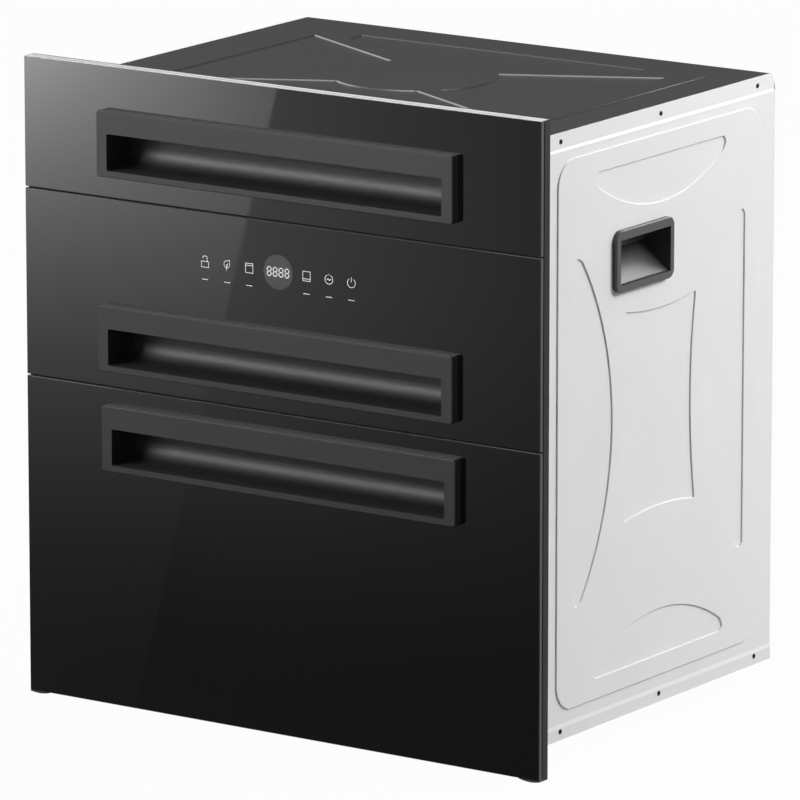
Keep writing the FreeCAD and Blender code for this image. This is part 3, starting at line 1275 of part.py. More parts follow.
def terminal_block():
    """The supply terminals on the tray, with barriers between the ways."""
    x, y = GLAND_X, BACK_PANEL_Y - TERMINAL_SETBACK
    z = BODY_BOTTOM + BASE_SHEET
    length, width, height = TERMINAL_SIZE
    left = x - length / 2
    body = box((left, left + length), (y - width / 2, y + width / 2), (z, z + height))
    for i in range(TERMINAL_WAYS):
        slot_x = left + length * (i + 0.5) / TERMINAL_WAYS
        body = body.cut(box((slot_x - TERMINAL_SLOT / 2, slot_x + TERMINAL_SLOT / 2),
                            (0, BODY_DEPTH), (z + TERMINAL_SEAT, z + 2 * height)))
    return body


def thermal_cutout():
    """A disc thermostat on the lower liner's back with its flange and two tabs."""
    x, z = CUTOUT_CENTRE
    y = LINER_BACK_FACE_Y
    length, sheet, height = CUTOUT_FLANGE
    flange = box((x - length / 2, x + length / 2), (y, y + sheet),
                 (z - height / 2, z + height / 2))
    disc = bar(V(x, y, z), V(x, y + CUTOUT_HEIGHT, z), CUTOUT_RADIUS, Z_AXIS, TUBE_SIDES)
    thick, reach, width = CUTOUT_TAB
    tabs = [box((x + tab_x - thick / 2, x + tab_x + thick / 2),
                (y + CUTOUT_HEIGHT, y + CUTOUT_HEIGHT + reach),
                (z - width / 2, z + width / 2)) for tab_x in (-CUTOUT_TAB_X, CUTOUT_TAB_X)]
    return fuse([flange, disc] + tabs)


def door_sensors():
    """Reed sensors on the liners' outer faces, level with the drawers' magnets."""
    x = OPENING_HALF + LINER_SHEET
    y = FRAME_BACK_Y + SENSOR_SETBACK
    solids = []
    for spec in DRAWERS.values():
        z = spec["opening"][1] - PAN_CLEARANCE - MAGNET_DROP - MAGNET[2] / 2
        solids.append(box((x, x + SENSOR[0]), (y, y + SENSOR[1]),
                          (z - SENSOR[2] / 2, z + SENSOR[2] / 2)))
    return solids


def cable_gland():
    """A cable gland: a shank through the back panel, a hexagon outside and a through bore."""
    wall = BACK_PANEL_Y + SHEET
    start = BACK_PANEL_Y - GLAND_INSIDE
    end = wall + GLAND_PROUD
    shank = rod(V(GLAND_X, start, GLAND_Z), V(GLAND_X, end, GLAND_Z), GLAND_SHANK_RADIUS)
    nut = bar(V(GLAND_X, wall, GLAND_Z), V(GLAND_X, end, GLAND_Z), GLAND_NUT_RADIUS, Z_AXIS)
    bore = rod(V(GLAND_X, start - OVERCUT, GLAND_Z), V(GLAND_X, end + OVERCUT, GLAND_Z),
               GLAND_BORE_RADIUS)
    return fuse([shank, nut]).cut(bore)


# ---------------------------------------------------------------- write every node
def write_cabinet():
    """The fixed body and what it holds."""
    right = side_panel()
    write_node("side_panel_right", right)
    write_node("side_panel_left", both_sides(right)[1])
    cup = carry_cup()
    write_node("carry_cup_right", cup)
    write_node("carry_cup_left", both_sides(cup)[1])
    write_node("top_cover", top_cover())
    write_node("back_panel", back_panel())
    write_node("base_tray", base_tray())
    write_node("feet", *feet())
    write_node("front_frame", front_frame())
    write_node("frame_end_caps", *frame_end_caps())
    screws = [screw(point, axis) for point, axis in side_screws() + back_screws()]
    write_node("cabinet_screws", *screws)
    write_node("lower_liner", *liner("lower"))
    write_node("upper_liner", *liner("upper"))
    write_node("liner_supports", *liner_supports())
    write_node("insulation_mats", *insulation_mats())
    rails = [outer_rail(spec["rail_z"]) for spec in DRAWERS.values()]
    write_node("outer_rails", *[side for rail in rails for side in both_sides(rail)])


def write_equipment():
    """Lamps, heaters, fan and electrics."""
    lamps = (UPPER_LAMP_Z, LOWER_LAMP_Z)
    write_node("uv_lamps", *[piece for z in lamps for piece in lamp(z)])
    write_node("lamp_holders", *[piece for z in lamps for piece in lamp_holders(z)])
    guards = []
    for z in lamps:
        guards += wire_guard(LAMP_LENGTH / 2 - GUARD_INSET, LAMP_Y, LAMP_RADIUS,
                             (z - LAMP_RADIUS, z + LAMP_RADIUS))
    guards += wire_guard(HEATER_LENGTH / 2 - REFLECTOR_END - GUARD_INSET, HEATER_Y,
                         HEATER_RADIUS, reflector_span())
    write_node("wire_guards", *guards)
    write_node("heater_tubes", *heaters())
    write_node("heater_reflector", heater_reflector())
    write_node("ptc_heater", ptc_heater())
    write_node("fan_frame", fan_frame())
    write_node("fan_impeller", fan_impeller())
    write_node("power_board", *power_board())
    write_node("board_case", board_case())
    write_node("lamp_ballast", module(BALLAST_CENTRE, BALLAST_SIZE))
    write_node("ozone_generator", module(OZONE_CENTRE, OZONE_SIZE))
    write_node("terminal_block", terminal_block())
    write_node("thermal_cutout", thermal_cutout())
    write_node("door_sensors", *door_sensors())
    write_node("cable_gland", cable_gland())


def write_drawer(name, spec):
    """One drawer with its front, its box and its slides."""
    write_node(name + "_glass", glass(spec))
    write_node(name + "_pan", pan(spec))
    write_node(name + "_pull", pull(spec))
    write_node(name + "_gasket", gasket(spec))
    write_node(name + "_magnet", magnet(spec))
    write_node(name + "_arms", drawer_arms(spec))
    write_node(name + "_basket", *basket(spec, rack=name == "lower"))
    write_node(name + "_inner_rails", *both_sides(inner_rail(spec["rail_z"])))
    sides = [both_sides(piece) for piece in middle_rail(spec["rail_z"])]
    write_node(name + "_middle_rails", *[piece for pair in sides for piece in pair])


os.makedirs("parts", exist_ok=True)
write_cabinet()
write_equipment()
for drawer_name, drawer_spec in DRAWERS.items():
    write_drawer(drawer_name, drawer_spec)
write_node("control_board", *control_board())
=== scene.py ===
import bisect
import json
import math
import bpy
from mathutils import Matrix, Vector
from mathutils.geometry import delaunay_2d_cdt


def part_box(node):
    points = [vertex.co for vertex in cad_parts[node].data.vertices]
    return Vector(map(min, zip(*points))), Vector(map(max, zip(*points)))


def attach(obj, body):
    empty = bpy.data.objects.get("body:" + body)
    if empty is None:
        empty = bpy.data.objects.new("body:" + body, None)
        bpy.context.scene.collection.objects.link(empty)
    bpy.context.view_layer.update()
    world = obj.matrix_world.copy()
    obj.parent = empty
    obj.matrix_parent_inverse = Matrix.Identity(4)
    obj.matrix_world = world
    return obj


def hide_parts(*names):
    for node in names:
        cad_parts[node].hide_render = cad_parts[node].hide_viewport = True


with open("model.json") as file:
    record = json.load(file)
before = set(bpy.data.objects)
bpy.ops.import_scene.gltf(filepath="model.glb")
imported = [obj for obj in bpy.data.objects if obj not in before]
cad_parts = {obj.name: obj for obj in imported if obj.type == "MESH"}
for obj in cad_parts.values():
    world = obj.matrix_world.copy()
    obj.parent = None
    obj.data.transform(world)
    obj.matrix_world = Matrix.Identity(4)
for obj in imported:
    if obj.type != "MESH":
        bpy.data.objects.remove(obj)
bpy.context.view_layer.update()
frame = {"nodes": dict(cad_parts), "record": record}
NODES = frame["nodes"]

# ---------------- camera
CAMERA_PLACE = Vector((4.382704, -6.389788, 2.050655))
CAMERA_TURN = (math.radians(77.2104), 0.0, math.radians(34.5175))
LENS, SENSOR_WIDTH = 366.024, 36.0      # mm
camera_data = bpy.data.cameras.new("camera")
camera_data.lens = LENS
camera_data.sensor_width = SENSOR_WIDTH
camera = bpy.data.objects.new("camera", camera_data)
camera.location = CAMERA_PLACE
camera.rotation_euler = CAMERA_TURN
bpy.context.scene.collection.objects.link(camera)
bpy.context.scene.camera = camera
bpy.context.scene.view_settings.view_transform = "Standard"

# ---------------- places taken from the frame
GLASS_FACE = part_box("middle_glass")[0].y
GLASS_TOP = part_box("upper_glass")[1].z
CONTROLS_LOW, CONTROLS_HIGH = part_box("control_board")
CONTROLS_Z = (CONTROLS_LOW.z + CONTROLS_HIGH.z) / 2


# ---------------- material helpers
MIX_FIRST, MIX_SECOND, MIX_RESULT = 6, 7, 2     # the colour sockets of a Mix node
MOTTLE_SCALE, MOTTLE_DETAIL = 14.0, 2.0         # the soft unevenness of a colour
GRAIN_DETAIL = 3.0
NOISE_MIDDLE = (0.3, 0.7)                       # where most values of a noise lie
ROUGHENED = 0.6                                 # the roughness where a mask is whole


def empty_tree(holder):
    """The node tree of a material or a world, with no nodes."""
    holder.use_nodes = True
    holder.node_tree.nodes.clear()
    return holder.node_tree


def node(tree, kind, **values):
    """A new node, with values for its inputs and its settings by name."""
    made = tree.nodes.new(kind)
    for key, value in values.items():
        if key in made.inputs:
            made.inputs[key].default_value = value
        else:
            setattr(made, key, value)
    return made


def noise(tree, scale, detail, stretch=None):
    """Noise in object coordinates (metres), stretched along the axes if asked."""
    coords = node(tree, "ShaderNodeTexCoord")
    mapping = node(tree, "ShaderNodeMapping")
    mapping.inputs["Scale"].default_value = stretch or (1.0, 1.0, 1.0)
    texture = node(tree, "ShaderNodeTexNoise", Scale=scale, Detail=detail)
    tree.links.new(coords.outputs["Object"], mapping.inputs["Vector"])
    tree.links.new(mapping.outputs["Vector"], texture.inputs["Vector"])
    return texture.outputs["Fac"]


def ramp(tree, source, low, high, span):
    """A colour that goes from low to high while source goes through span."""
    made = node(tree, "ShaderNodeValToRGB")
    for element, place, colour in zip(made.color_ramp.elements, span, (low, high)):
        element.position = place
        element.color = (*colour, 1.0)
    tree.links.new(source, made.inputs["Fac"])
    return made.outputs["Color"]


def spread(tree, source, from_span, to_span=(0.0, 1.0)):
    """source taken from one span to the other, and held at its ends."""
    made = node(tree, "ShaderNodeMapRange")
    made.inputs["From Min"].default_value, made.inputs["From Max"].default_value = from_span
    made.inputs["To Min"].default_value, made.inputs["To Max"].default_value = to_span
    tree.links.new(source, made.inputs["Value"])
    return made.outputs["Result"]


def combine(tree, operation, first, second):
    """One number out of two, by an operation of a Math node."""
    made = node(tree, "ShaderNodeMath", operation=operation)
    tree.links.new(first, made.inputs[0])
    tree.links.new(second, made.inputs[1])
    return made.outputs["Value"]


def blend_colour(tree, share, first, second):
    """first where share is 0 and the fixed colour second where it is 1."""
    made = node(tree, "ShaderNodeMix", data_type="RGBA")
    tree.links.new(share, made.inputs["Factor"])
    tree.links.new(first, made.inputs[MIX_FIRST])
    made.inputs[MIX_SECOND].default_value = (*second, 1.0)
    return made.outputs[MIX_RESULT]


def surface_axes(tree):
    """Outputs with the place and the true normal of a point of the object."""
    coords = node(tree, "ShaderNodeTexCoord")
    place = node(tree, "ShaderNodeSeparateXYZ")
    tree.links.new(coords.outputs["Object"], place.inputs["Vector"])
    geometry = node(tree, "ShaderNodeNewGeometry")
    facing = node(tree, "ShaderNodeSeparateXYZ")
    tree.links.new(geometry.outputs["True Normal"], facing.inputs["Vector"])
    return place.outputs, facing.outputs


def finish_material(name, colour, vary, roughness, grain, bump_strength, bump_distance=0.0001,
                    metallic=0.0, specular=0.5, stretch=None, masks=(), rough_mask=None, glow=0.0):
    """A coated, moulded or brushed surface with fine variation in colour, gloss and height.
    Each mask is a function of the tree that gives a share, and the colour that it brings in."""
    material = bpy.data.materials.new(name)
    material.use_nodes = True
    tree = material.node_tree
    shader = tree.nodes["Principled BSDF"]
    low = tuple(c * (1 - vary) for c in colour)
    high = tuple(min(1.0, c * (1 + vary)) for c in colour)
    tint = ramp(tree, noise(tree, MOTTLE_SCALE, MOTTLE_DETAIL), low, high, NOISE_MIDDLE)
    for mask, other in masks:
        tint = blend_colour(tree, mask(tree), tint, other)
    tree.links.new(tint, shader.inputs["Base Color"])
    fine = noise(tree, grain, GRAIN_DETAIL, stretch)
    rough = spread(tree, fine, NOISE_MIDDLE, roughness)
    if rough_mask:
        raised_rough = spread(tree, rough_mask(tree), (0.0, 1.0), (0.0, ROUGHENED))
        rough = combine(tree, "MAXIMUM", raised_rough, rough)
    tree.links.new(rough, shader.inputs["Roughness"])
    shader.inputs["Metallic"].default_value = metallic
    shader.inputs["Specular IOR Level"].default_value = specular
    shader.inputs["Emission Color"].default_value = (1.0, 1.0, 1.0, 1.0)
    shader.inputs["Emission Strength"].default_value = glow
    relief = node(tree, "ShaderNodeBump", Strength=bump_strength, Distance=bump_distance)
    tree.links.new(fine, relief.inputs["Height"])
    tree.links.new(relief.outputs["Normal"], shader.inputs["Normal"])
    return material


STRIP_EDGE = (GLASS_TOP - 0.0042, GLASS_TOP - 0.0040)       # m, where the white strip begins
STRIP_BACK = (GLASS_FACE + 0.0128, GLASS_FACE + 0.0124)     # m, where it ends towards the back


def top_strip(tree):
    """The white painted top edge of the front: what faces up, level with the top of the glass."""
    place, facing = surface_axes(tree)
    high = spread(tree, place["Z"], STRIP_EDGE)
    near = spread(tree, place["Y"], STRIP_BACK)
    up = spread(tree, facing["Z"], (0.4, 0.6))
    return combine(tree, "MULTIPLY", combine(tree, "MULTIPLY", high, near), up)


def ground_edge(tree):
    """The ground edges of a glass, which face neither the front nor the back."""
    facing = surface_axes(tree)[1]
    square = node(tree, "ShaderNodeMath", operation="ABSOLUTE")
    tree.links.new(facing["Y"], square.inputs[0])
    return spread(tree, square.outputs["Value"], (0.9, 0.6))


def up_face_shade_and_rough(tree):
    """The faces of a moulding that look up. They get painted shade, a darker colour, and a rougher
    grain.
    """
    return spread(tree, surface_axes(tree)[1]["Z"], (0.8, 0.95))


STRIP_WHITE = (0.95, 0.95, 0.95)
EDGE_GREY = (0.05, 0.055, 0.055)
# painted shade: the colour that darkens the up faces of the pulls
PULL_TOP_PAINTED_SHADE = (0.008, 0.008, 0.008)

# Name, colour, how much the colour varies, roughness from and to, and the rest by name.
WHITE_STEEL = finish_material(
    "white_powder_coat", (0.80, 0.80, 0.803), 0.01, (0.40, 0.48),
    grain=1600.0, bump_strength=0.10, bump_distance=0.00004, specular=0.25)
COVER_STEEL = finish_material(
    "dark_powder_coat", (0.022, 0.022, 0.023), 0.04, (0.27, 0.33),
    grain=1800.0, bump_strength=0.08, bump_distance=0.00003, specular=1.0)
FRAME_STEEL = finish_material(
    "frame_powder_coat", (0.022, 0.022, 0.023), 0.04, (0.45, 0.55),
    grain=1800.0, bump_strength=0.15, bump_distance=0.00005, specular=0.2,
    masks=((top_strip, STRIP_WHITE),))
ZINC = finish_material(
    "zinc_sheet", (0.62, 0.63, 0.65), 0.08, (0.3, 0.45),
    metallic=1.0, grain=240.0, bump_strength=0.05, bump_distance=0.00005)
STAINLESS = finish_material(
    "brushed_stainless", (0.68, 0.68, 0.67), 0.04, (0.22, 0.4),
    metallic=1.0, grain=60.0, bump_strength=0.08, bump_distance=0.00004, stretch=(1.0, 40.0, 40.0))
GLASS = finish_material(
    "black_glass", (0.0014, 0.0014, 0.0016), 0.2, (0.012, 0.03),
    grain=30.0, bump_strength=0.0, specular=0.8,
    masks=((ground_edge, EDGE_GREY), (top_strip, STRIP_WHITE)), rough_mask=ground_edge)
# the pulls' up faces are painted darker as painted shade, and are rougher
PULL = finish_material(
    "pull_satin_plastic", (0.018, 0.018, 0.018), 0.03, (0.45, 0.51),
    grain=1500.0, bump_strength=0.08, bump_distance=0.00003, specular=0.4,
    masks=((up_face_shade_and_rough, PULL_TOP_PAINTED_SHADE),), rough_mask=up_face_shade_and_rough)
CUP = finish_material(
    "cup_satin_plastic", (0.052, 0.052, 0.053), 0.03, (0.33, 0.40),
    grain=1500.0, bump_strength=0.15, bump_distance=0.00004, specular=0.6)
BLACK = finish_material(
    "black_plastic", (0.012, 0.012, 0.013), 0.05, (0.4, 0.5),
    grain=1200.0, bump_strength=0.2, bump_distance=0.00006, masks=((top_strip, STRIP_WHITE),))
SEAL = finish_material(
    "silicone_seal", (0.22, 0.22, 0.23), 0.04, (0.55, 0.65),
    grain=900.0, bump_strength=0.15, bump_distance=0.00006)
LIP = finish_material(
    "white_lip", (0.9, 0.9, 0.9), 0.02, (0.45, 0.55),
    grain=1500.0, bump_strength=0.08, bump_distance=0.00003)
FOOT = finish_material(
    "foot_rubber", (0.03, 0.03, 0.03), 0.06, (0.6, 0.75),
    grain=700.0, bump_strength=0.3, bump_distance=0.0001)
WIRE = finish_material(
    "plated_wire", (0.78, 0.78, 0.79), 0.03, (0.1, 0.18),
    metallic=1.0, grain=500.0, bump_strength=0.03, bump_distance=0.00003)
QUARTZ = finish_material(
    "quartz_tube", (0.9, 0.93, 0.97), 0.02, (0.06, 0.1),
    grain=200.0, bump_strength=0.0)
BOARD = finish_material(
    "circuit_board", (0.02, 0.12, 0.05), 0.12, (0.25, 0.4),
    grain=300.0, bump_strength=0.15, bump_distance=0.0001)
MODULE = finish_material(
    "module_housing", (0.72, 0.72, 0.69), 0.03, (0.4, 0.5),
    grain=900.0, bump_strength=0.2, bump_distance=0.00006)
WOOL = finish_material(
    "mineral_wool", (0.6, 0.55, 0.36), 0.2, (0.85, 0.95),
    grain=260.0, bump_strength=0.9, bump_distance=0.001, stretch=(1.0, 1.0, 4.0))
SCREW = finish_material(
    "blackened_screw", (0.03, 0.03, 0.03), 0.1, (0.35, 0.45),
    metallic=1.0, grain=700.0, bump_strength=0.05, bump_distance=0.00003)
MAGNET = finish_material(
    "nickel_magnet", (0.5, 0.5, 0.49), 0.05, (0.2, 0.3),
    metallic=1.0, grain=500.0, bump_strength=0.03, bump_distance=0.00003)
# white print with a painted glow: its emission of 0.45 makes the marks and digits brighter than the
# lamps make them
PRINT_PAINTED_GLOW = finish_material(
    "printed_mark_painted_glow", (0.75, 0.75, 0.75), 0.03, (0.5, 0.6),
    grain=2000.0, bump_strength=0.1, bump_distance=0.00002, glow=0.45)
DIAL = finish_material(
    "display_window", (0.082, 0.072, 0.072), 0.05, (0.3, 0.4),
    grain=2500.0, bump_strength=0.1, bump_distance=0.00002)

FINISH = {
    "white_steel": WHITE_STEEL, "dark_steel": FRAME_STEEL, "zinc_steel": ZINC,
    "stainless": STAINLESS, "black_glass": GLASS, "pull_grey": PULL, "cup_grey": CUP,
    "black_plastic": BLACK, "seal": SEAL, "foot_rubber": FOOT, "wire": WIRE, "quartz": QUARTZ,
    "board": BOARD, "module": MODULE, "fan_black": BLACK, "wool": WOOL, "screw": SCREW,
    "magnet": MAGNET,
}
for part in frame["record"]["subparts"]:
    cover = part["node"] == "top_cover"
    mesh = NODES[part["node"]].data
    mesh.materials.clear()
    mesh.materials.append(COVER_STEEL if cover else FINISH[part["material_slot"]])


# ---------------- mesh helpers
MM = 1000.0                 # millimetres in a metre


def mesh_object(name, points, faces, material):
    """An object of a new mesh, not yet in the scene."""
    mesh = bpy.data.meshes.new(name)
    mesh.from_pydata(points, [], faces)
    mesh.update()
    mesh.materials.append(material)
    return bpy.data.objects.new(name, mesh)


def piece(name, points, faces, material, body):
    """A new mesh piece that rides on a CAD body."""
    made = mesh_object(name, points, faces, material)
    bpy.context.scene.collection.objects.link(made)
    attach(made, body)
    return made


def ring_faces(count, first=0, second=None):
    """The quads between two rings of points, which start at these indices."""
    second = first + count if second is None else second
    return [(first + i, first + (i + 1) % count, second + (i + 1) % count, second + i)
            for i in range(count)]


# ---------------- printed marks on the middle glass
# x runs to the right and z up from the middle of the controls, all in millimetres.
STROKE = 0.62               # the stroke of the symbols
BOLD_STROKE = 0.7           # the stroke of the timer's hand and of the dashes below the symbols
MARK_X = (-85.3, -59.4, -33.4, 33.4, 59.3, 85.2)
DASH_HALF, DASH_Z = 3.6, -17.1
DISPLAY_X = 0.3
DISC_RADIUS = 17.0
DIGIT_PITCH, DIGIT_WIDTH, DIGIT_HEIGHT, DIGIT_STROKE = 6.9, 4.3, 8.3, 1.15
DIGIT_GAP = 0.3             # between the bars of a digit
DISC_PROUD, MARK_PROUD, DIGIT_PROUD = 0.00004, 0.00006, 0.0001      # m, out of the glass


def arc(x, z, radius, start, end, steps):
    """Points of an arc, with angles in degrees anticlockwise from the right."""
    span = [math.radians(start + (end - start) * i / steps) for i in range(steps + 1)]
    return [(x + radius * math.cos(a), z + radius * math.sin(a)) for a in span]


SHARPEST_MITRE = 0.5        # the cosine at which a stroke's corner stops growing


def ribbon(points, width, closed):
    """A stroke of one width along points, as pairs of a left and a right point."""
    pairs = []
    count = len(points)
    for i, point in enumerate(points):
        before = points[i - 1] if closed or i else point
        after = points[(i + 1) % count] if closed or i < count - 1 else point
        ahead = Vector(after) - Vector(point)
        behind = Vector(point) - Vector(before)
        ahead = ahead.normalized() if ahead.length else behind.normalized()
        behind = behind.normalized() if behind.length else ahead
        along = (ahead + behind).normalized()
        side = Vector((-along.y, along.x))
        reach = width / 2 / max(SHARPEST_MITRE, abs(along.dot(ahead)))
        pairs.append((Vector(point) + side * reach, Vector(point) - side * reach))
    return pairs


def raised(outline, proud):
    """A flat shape on the face of the glass, standing out of it by proud, in metres."""
    count = len(outline)
    points = [(x / MM, y, CONTROLS_Z + z / MM)
              for y in (GLASS_FACE - proud, GLASS_FACE) for x, z in outline]
    faces = [tuple(range(count))]
    faces += [(i, i + count, (i + 1) % count + count, (i + 1) % count) for i in range(count)]
    return points, faces


def marks(name, strokes, shapes, material, proud):
    """One piece on the middle glass, of strokes (points, width, closed) and of filled shapes."""
    points, faces = [], []

    def add(outline):
        more_points, more_faces = raised(outline, proud)
        start = len(points)
        points.extend(more_points)
        faces.extend(tuple(i + start for i in face) for face in more_faces)

    for line, width, closed in strokes:
        pairs = ribbon(line, width, closed)
        links = len(pairs) if closed else len(pairs) - 1
        for i in range(links):
            (left, right), (far_left, far_right) = pairs[i], pairs[(i + 1) % len(pairs)]
            add([left, right, far_right, far_left])
    for outline in shapes:
        add(outline)
    piece(name, points, faces, material, "middle_drawer")


def lock_icon(x):
    """An open padlock."""
    base = [(x - 4.2, -5.2), (x + 4.2, -5.2), (x + 4.2, 0.4), (x - 4.2, 0.4)]
    shackle = [(x + 2.6, 0.4), (x + 2.6, 4.2)] + arc(x + 1.1, 4.2, 1.5, 0, 90, 5) + arc(
        x - 0.9, 4.2, 1.5, 90, 180, 5) + [(x - 2.4, 3.2)]
    return [(base, STROKE, True), (shackle, STROKE, False)]


def leaf_icon(x):
    """A leaf with its stalk, a vein and a barb."""
    edge = ([(x + 3.0, 4.6)] + arc(x - 0.1, 0.6, 3.5, 112, 262, 12)
            + arc(x - 0.3, 0.6, 3.5, -68, 12, 8))
    vein = [(x - 0.6, -5.4), (x - 0.5, -2.6), (x + 0.9, 1.6)]
    barb = [(x - 1.2, 0.4), (x + 0.0, -1.2)]
    return [(edge, STROKE, True), (vein, STROKE, False), (barb, STROKE, False)]


def box_icon(x, way):
    """A cabinet with its upper (way 1) or lower (way -1) compartment marked."""
    case = [(x - 4.3, -4.6 * way), (x + 4.3, -4.6 * way),
            (x + 4.3, 4.6 * way), (x - 4.3, 4.6 * way)]
    bar = [(x - 4.3, 2.6 * way), (x + 4.3, 2.6 * way)]
    return [(case, STROKE, True), (bar, STROKE, False)]


def timer_icon(x):
    """A ring open at the top, with a waved hand in it and a short stem above."""
    ring = arc(x, 0, 4.5, 112, 428, 28)
    hand = [(x - 2.6, -0.6), (x - 0.9, 0.9), (x + 0.6, -0.9), (x + 2.6, 0.6)]
    stem = [(x, 4.1), (x, 5.4)]
    return [(ring, STROKE, False), (hand, BOLD_STROKE, False), (stem, STROKE, False)]


def power_icon(x):
    """A ring open at the top, with a stem through the opening."""
    ring = arc(x, -0.3, 4.5, 125, 415, 26)
    stem = [(x, 0.4), (x, 5.2)]
    return [(ring, STROKE, False), (stem, STROKE, False)]


def pointed_bar(middle, low, high, upright):
    """A bar of a digit with pointed ends, along z or along x, from low to high."""
    half = DIGIT_STROKE / 2
    if upright:
        return [(middle, low), (middle + half, low + half), (middle + half, high - half),
                (middle, high), (middle - half, high - half), (middle - half, low + half)]
    return [(low, middle), (low + half, middle - half), (high - half, middle - half),
            (high, middle), (high - half, middle + half), (low + half, middle + half)]


def eight(x):
    """The seven bars of an 8, as outlines."""
    half, mid = DIGIT_WIDTH / 2, DIGIT_HEIGHT / 2
    bars = [pointed_bar(z, x - half + DIGIT_GAP, x + half - DIGIT_GAP, False)
            for z in (-mid, 0.0, mid)]
    bars += [pointed_bar(x + side, low + DIGIT_GAP, low + mid - DIGIT_GAP, True)
             for side in (-half, half) for low in (-mid, 0.0)]
    return bars


strokes = (lock_icon(MARK_X[0]) + leaf_icon(MARK_X[1]) + box_icon(MARK_X[2], 1)
           + box_icon(MARK_X[3], -1) + timer_icon(MARK_X[4]) + power_icon(MARK_X[5]))
strokes += [([(x - DASH_HALF, DASH_Z), (x + DASH_HALF, DASH_Z)], BOLD_STROKE, False)
            for x in MARK_X]
disc = arc(DISPLAY_X, 0, DISC_RADIUS, 0, 354, 59)
digits = [bar for i in range(4) for bar in eight(DISPLAY_X + (i - 1.5) * DIGIT_PITCH)]
marks("touch_marks", strokes, [], PRINT_PAINTED_GLOW, MARK_PROUD)
marks("display_disc", [], [disc], DIAL, DISC_PROUD)
marks("display_digits", [], digits, PRINT_PAINTED_GLOW, DIGIT_PROUD)


# ---------------- lip behind the top edge of the upper glass
LIP_LOW, LIP_HIGH = GLASS_TOP - 0.012, GLASS_TOP - 0.0001       # m
LIP_CLEARANCE = 0.0002      # m, from the frame and from its end caps
LIP_BEVEL = (0.0002, 0.0003)        # m, back and down


def top_lip():
    """A thin white lip that closes the gap between the upper glass and the frame. It runs from
    end cap to end cap."""
    glass_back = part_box("upper_glass")[1].y
    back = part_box("front_frame")[0].y - LIP_CLEARANCE
    caps = NODES["frame_end_caps"].data.vertices
    half = min(v.co.x for v in caps if v.co.x > 0.0) - LIP_CLEARANCE
    profile = [(glass_back, LIP_LOW), (back, LIP_LOW), (back, LIP_HIGH - LIP_BEVEL[1]),
               (back - LIP_BEVEL[0], LIP_HIGH), (glass_back, LIP_HIGH)]
    count = len(profile)
    points = [(x, y, z) for x in (-half, half) for y, z in profile]
    faces = [tuple(range(count - 1, -1, -1)), tuple(range(count, 2 * count))]
    piece("top_lip", points, faces + ring_faces(count), LIP, "upper_drawer")


top_lip()


# ---------------- screws with a cross recess
SAME_PLACE = 6              # decimals of a metre that tell two points apart


def islands(mesh):
    """The connected pieces of a mesh, as lists of points."""
    parent = list(range(len(mesh.vertices)))

    def root(i):
        while parent[i] != i:
            parent[i] = parent[parent[i]]
            i = parent[i]
        return i

    seen = {}
    for vertex in mesh.vertices:
        key = tuple(round(c, SAME_PLACE) for c in vertex.co)
        if key in seen:
            parent[root(vertex.index)] = root(seen[key])
        seen.setdefault(key, vertex.index)
    for edge in mesh.edges:
        parent[root(edge.vertices[0])] = root(edge.vertices[1])
    groups = {}
    for vertex in mesh.vertices:
        groups.setdefault(root(vertex.index), []).append(vertex.co.copy())
    return list(groups.values())


SHANK_RADIUS, HEAD_HEIGHT = 0.0014, 0.0008      # m
SCREW_SIDES = 24
HEAD_RINGS = ((1.0, 0.0), (1.0, 0.35), (0.9, 0.75), (0.7, 1.0))     # shares of radius and height
CROSS_ARM, CROSS_HALF = 0.52, 0.14      # shares of the head's radius
CROSS_TAPER, CROSS_FLOOR = 0.8, 0.2     # how the recess narrows, and the height of its floor
FIRST_TURN, MORE_TURN = 0.6, 1.7        # radians, and radians for each point made so far


def screw_mesh(radius, shank_length):
    """A domed head with a sunk cross, and a plain shank, along +Z with the head's seat at 0."""
    rings = [(SHANK_RADIUS, -shank_length), (SHANK_RADIUS, 0.0)]
    rings += [(radius * wide, HEAD_HEIGHT * high) for wide, high in HEAD_RINGS]
    angles = [2 * math.pi * i / SCREW_SIDES for i in range(SCREW_SIDES)]
    points = [(r * math.cos(a), r * math.sin(a), z) for r, z in rings for a in angles]
    faces = []
    for ring in range(len(rings) - 1):
        faces += ring_faces(SCREW_SIDES, ring * SCREW_SIDES)
    arm, half = radius * CROSS_ARM, radius * CROSS_HALF
    cross = [(arm, -half), (arm, half), (half, half), (half, arm), (-half, arm), (-half, half),
             (-arm, half), (-arm, -half), (-half, -half), (-half, -arm), (half, -arm),
             (half, -half)]
    corners = len(cross)
    rim = (len(rings) - 1) * SCREW_SIDES
    top, floor = len(points), len(points) + corners
    points += [(x, y, HEAD_HEIGHT) for x, y in cross]
    points += [(x * CROSS_TAPER, y * CROSS_TAPER, HEAD_HEIGHT * CROSS_FLOOR) for x, y in cross]
    faces += ring_faces(corners, top, floor)
    ways = [Vector(corner).normalized() for corner in cross]
    nearest = [min(range(corners),
                   key=lambda k: (ways[k] - Vector(points[rim + i][:2]).normalized()).length)
               for i in range(SCREW_SIDES)]
    for i in range(SCREW_SIDES):
        j = (i + 1) % SCREW_SIDES
        a, b = nearest[i], nearest[j]
        face = (rim + i, rim + j, top + b)
        faces.append(face if a == b else face + (top + a,))
    faces.append(tuple(range(floor, floor + corners)))
    return points, faces


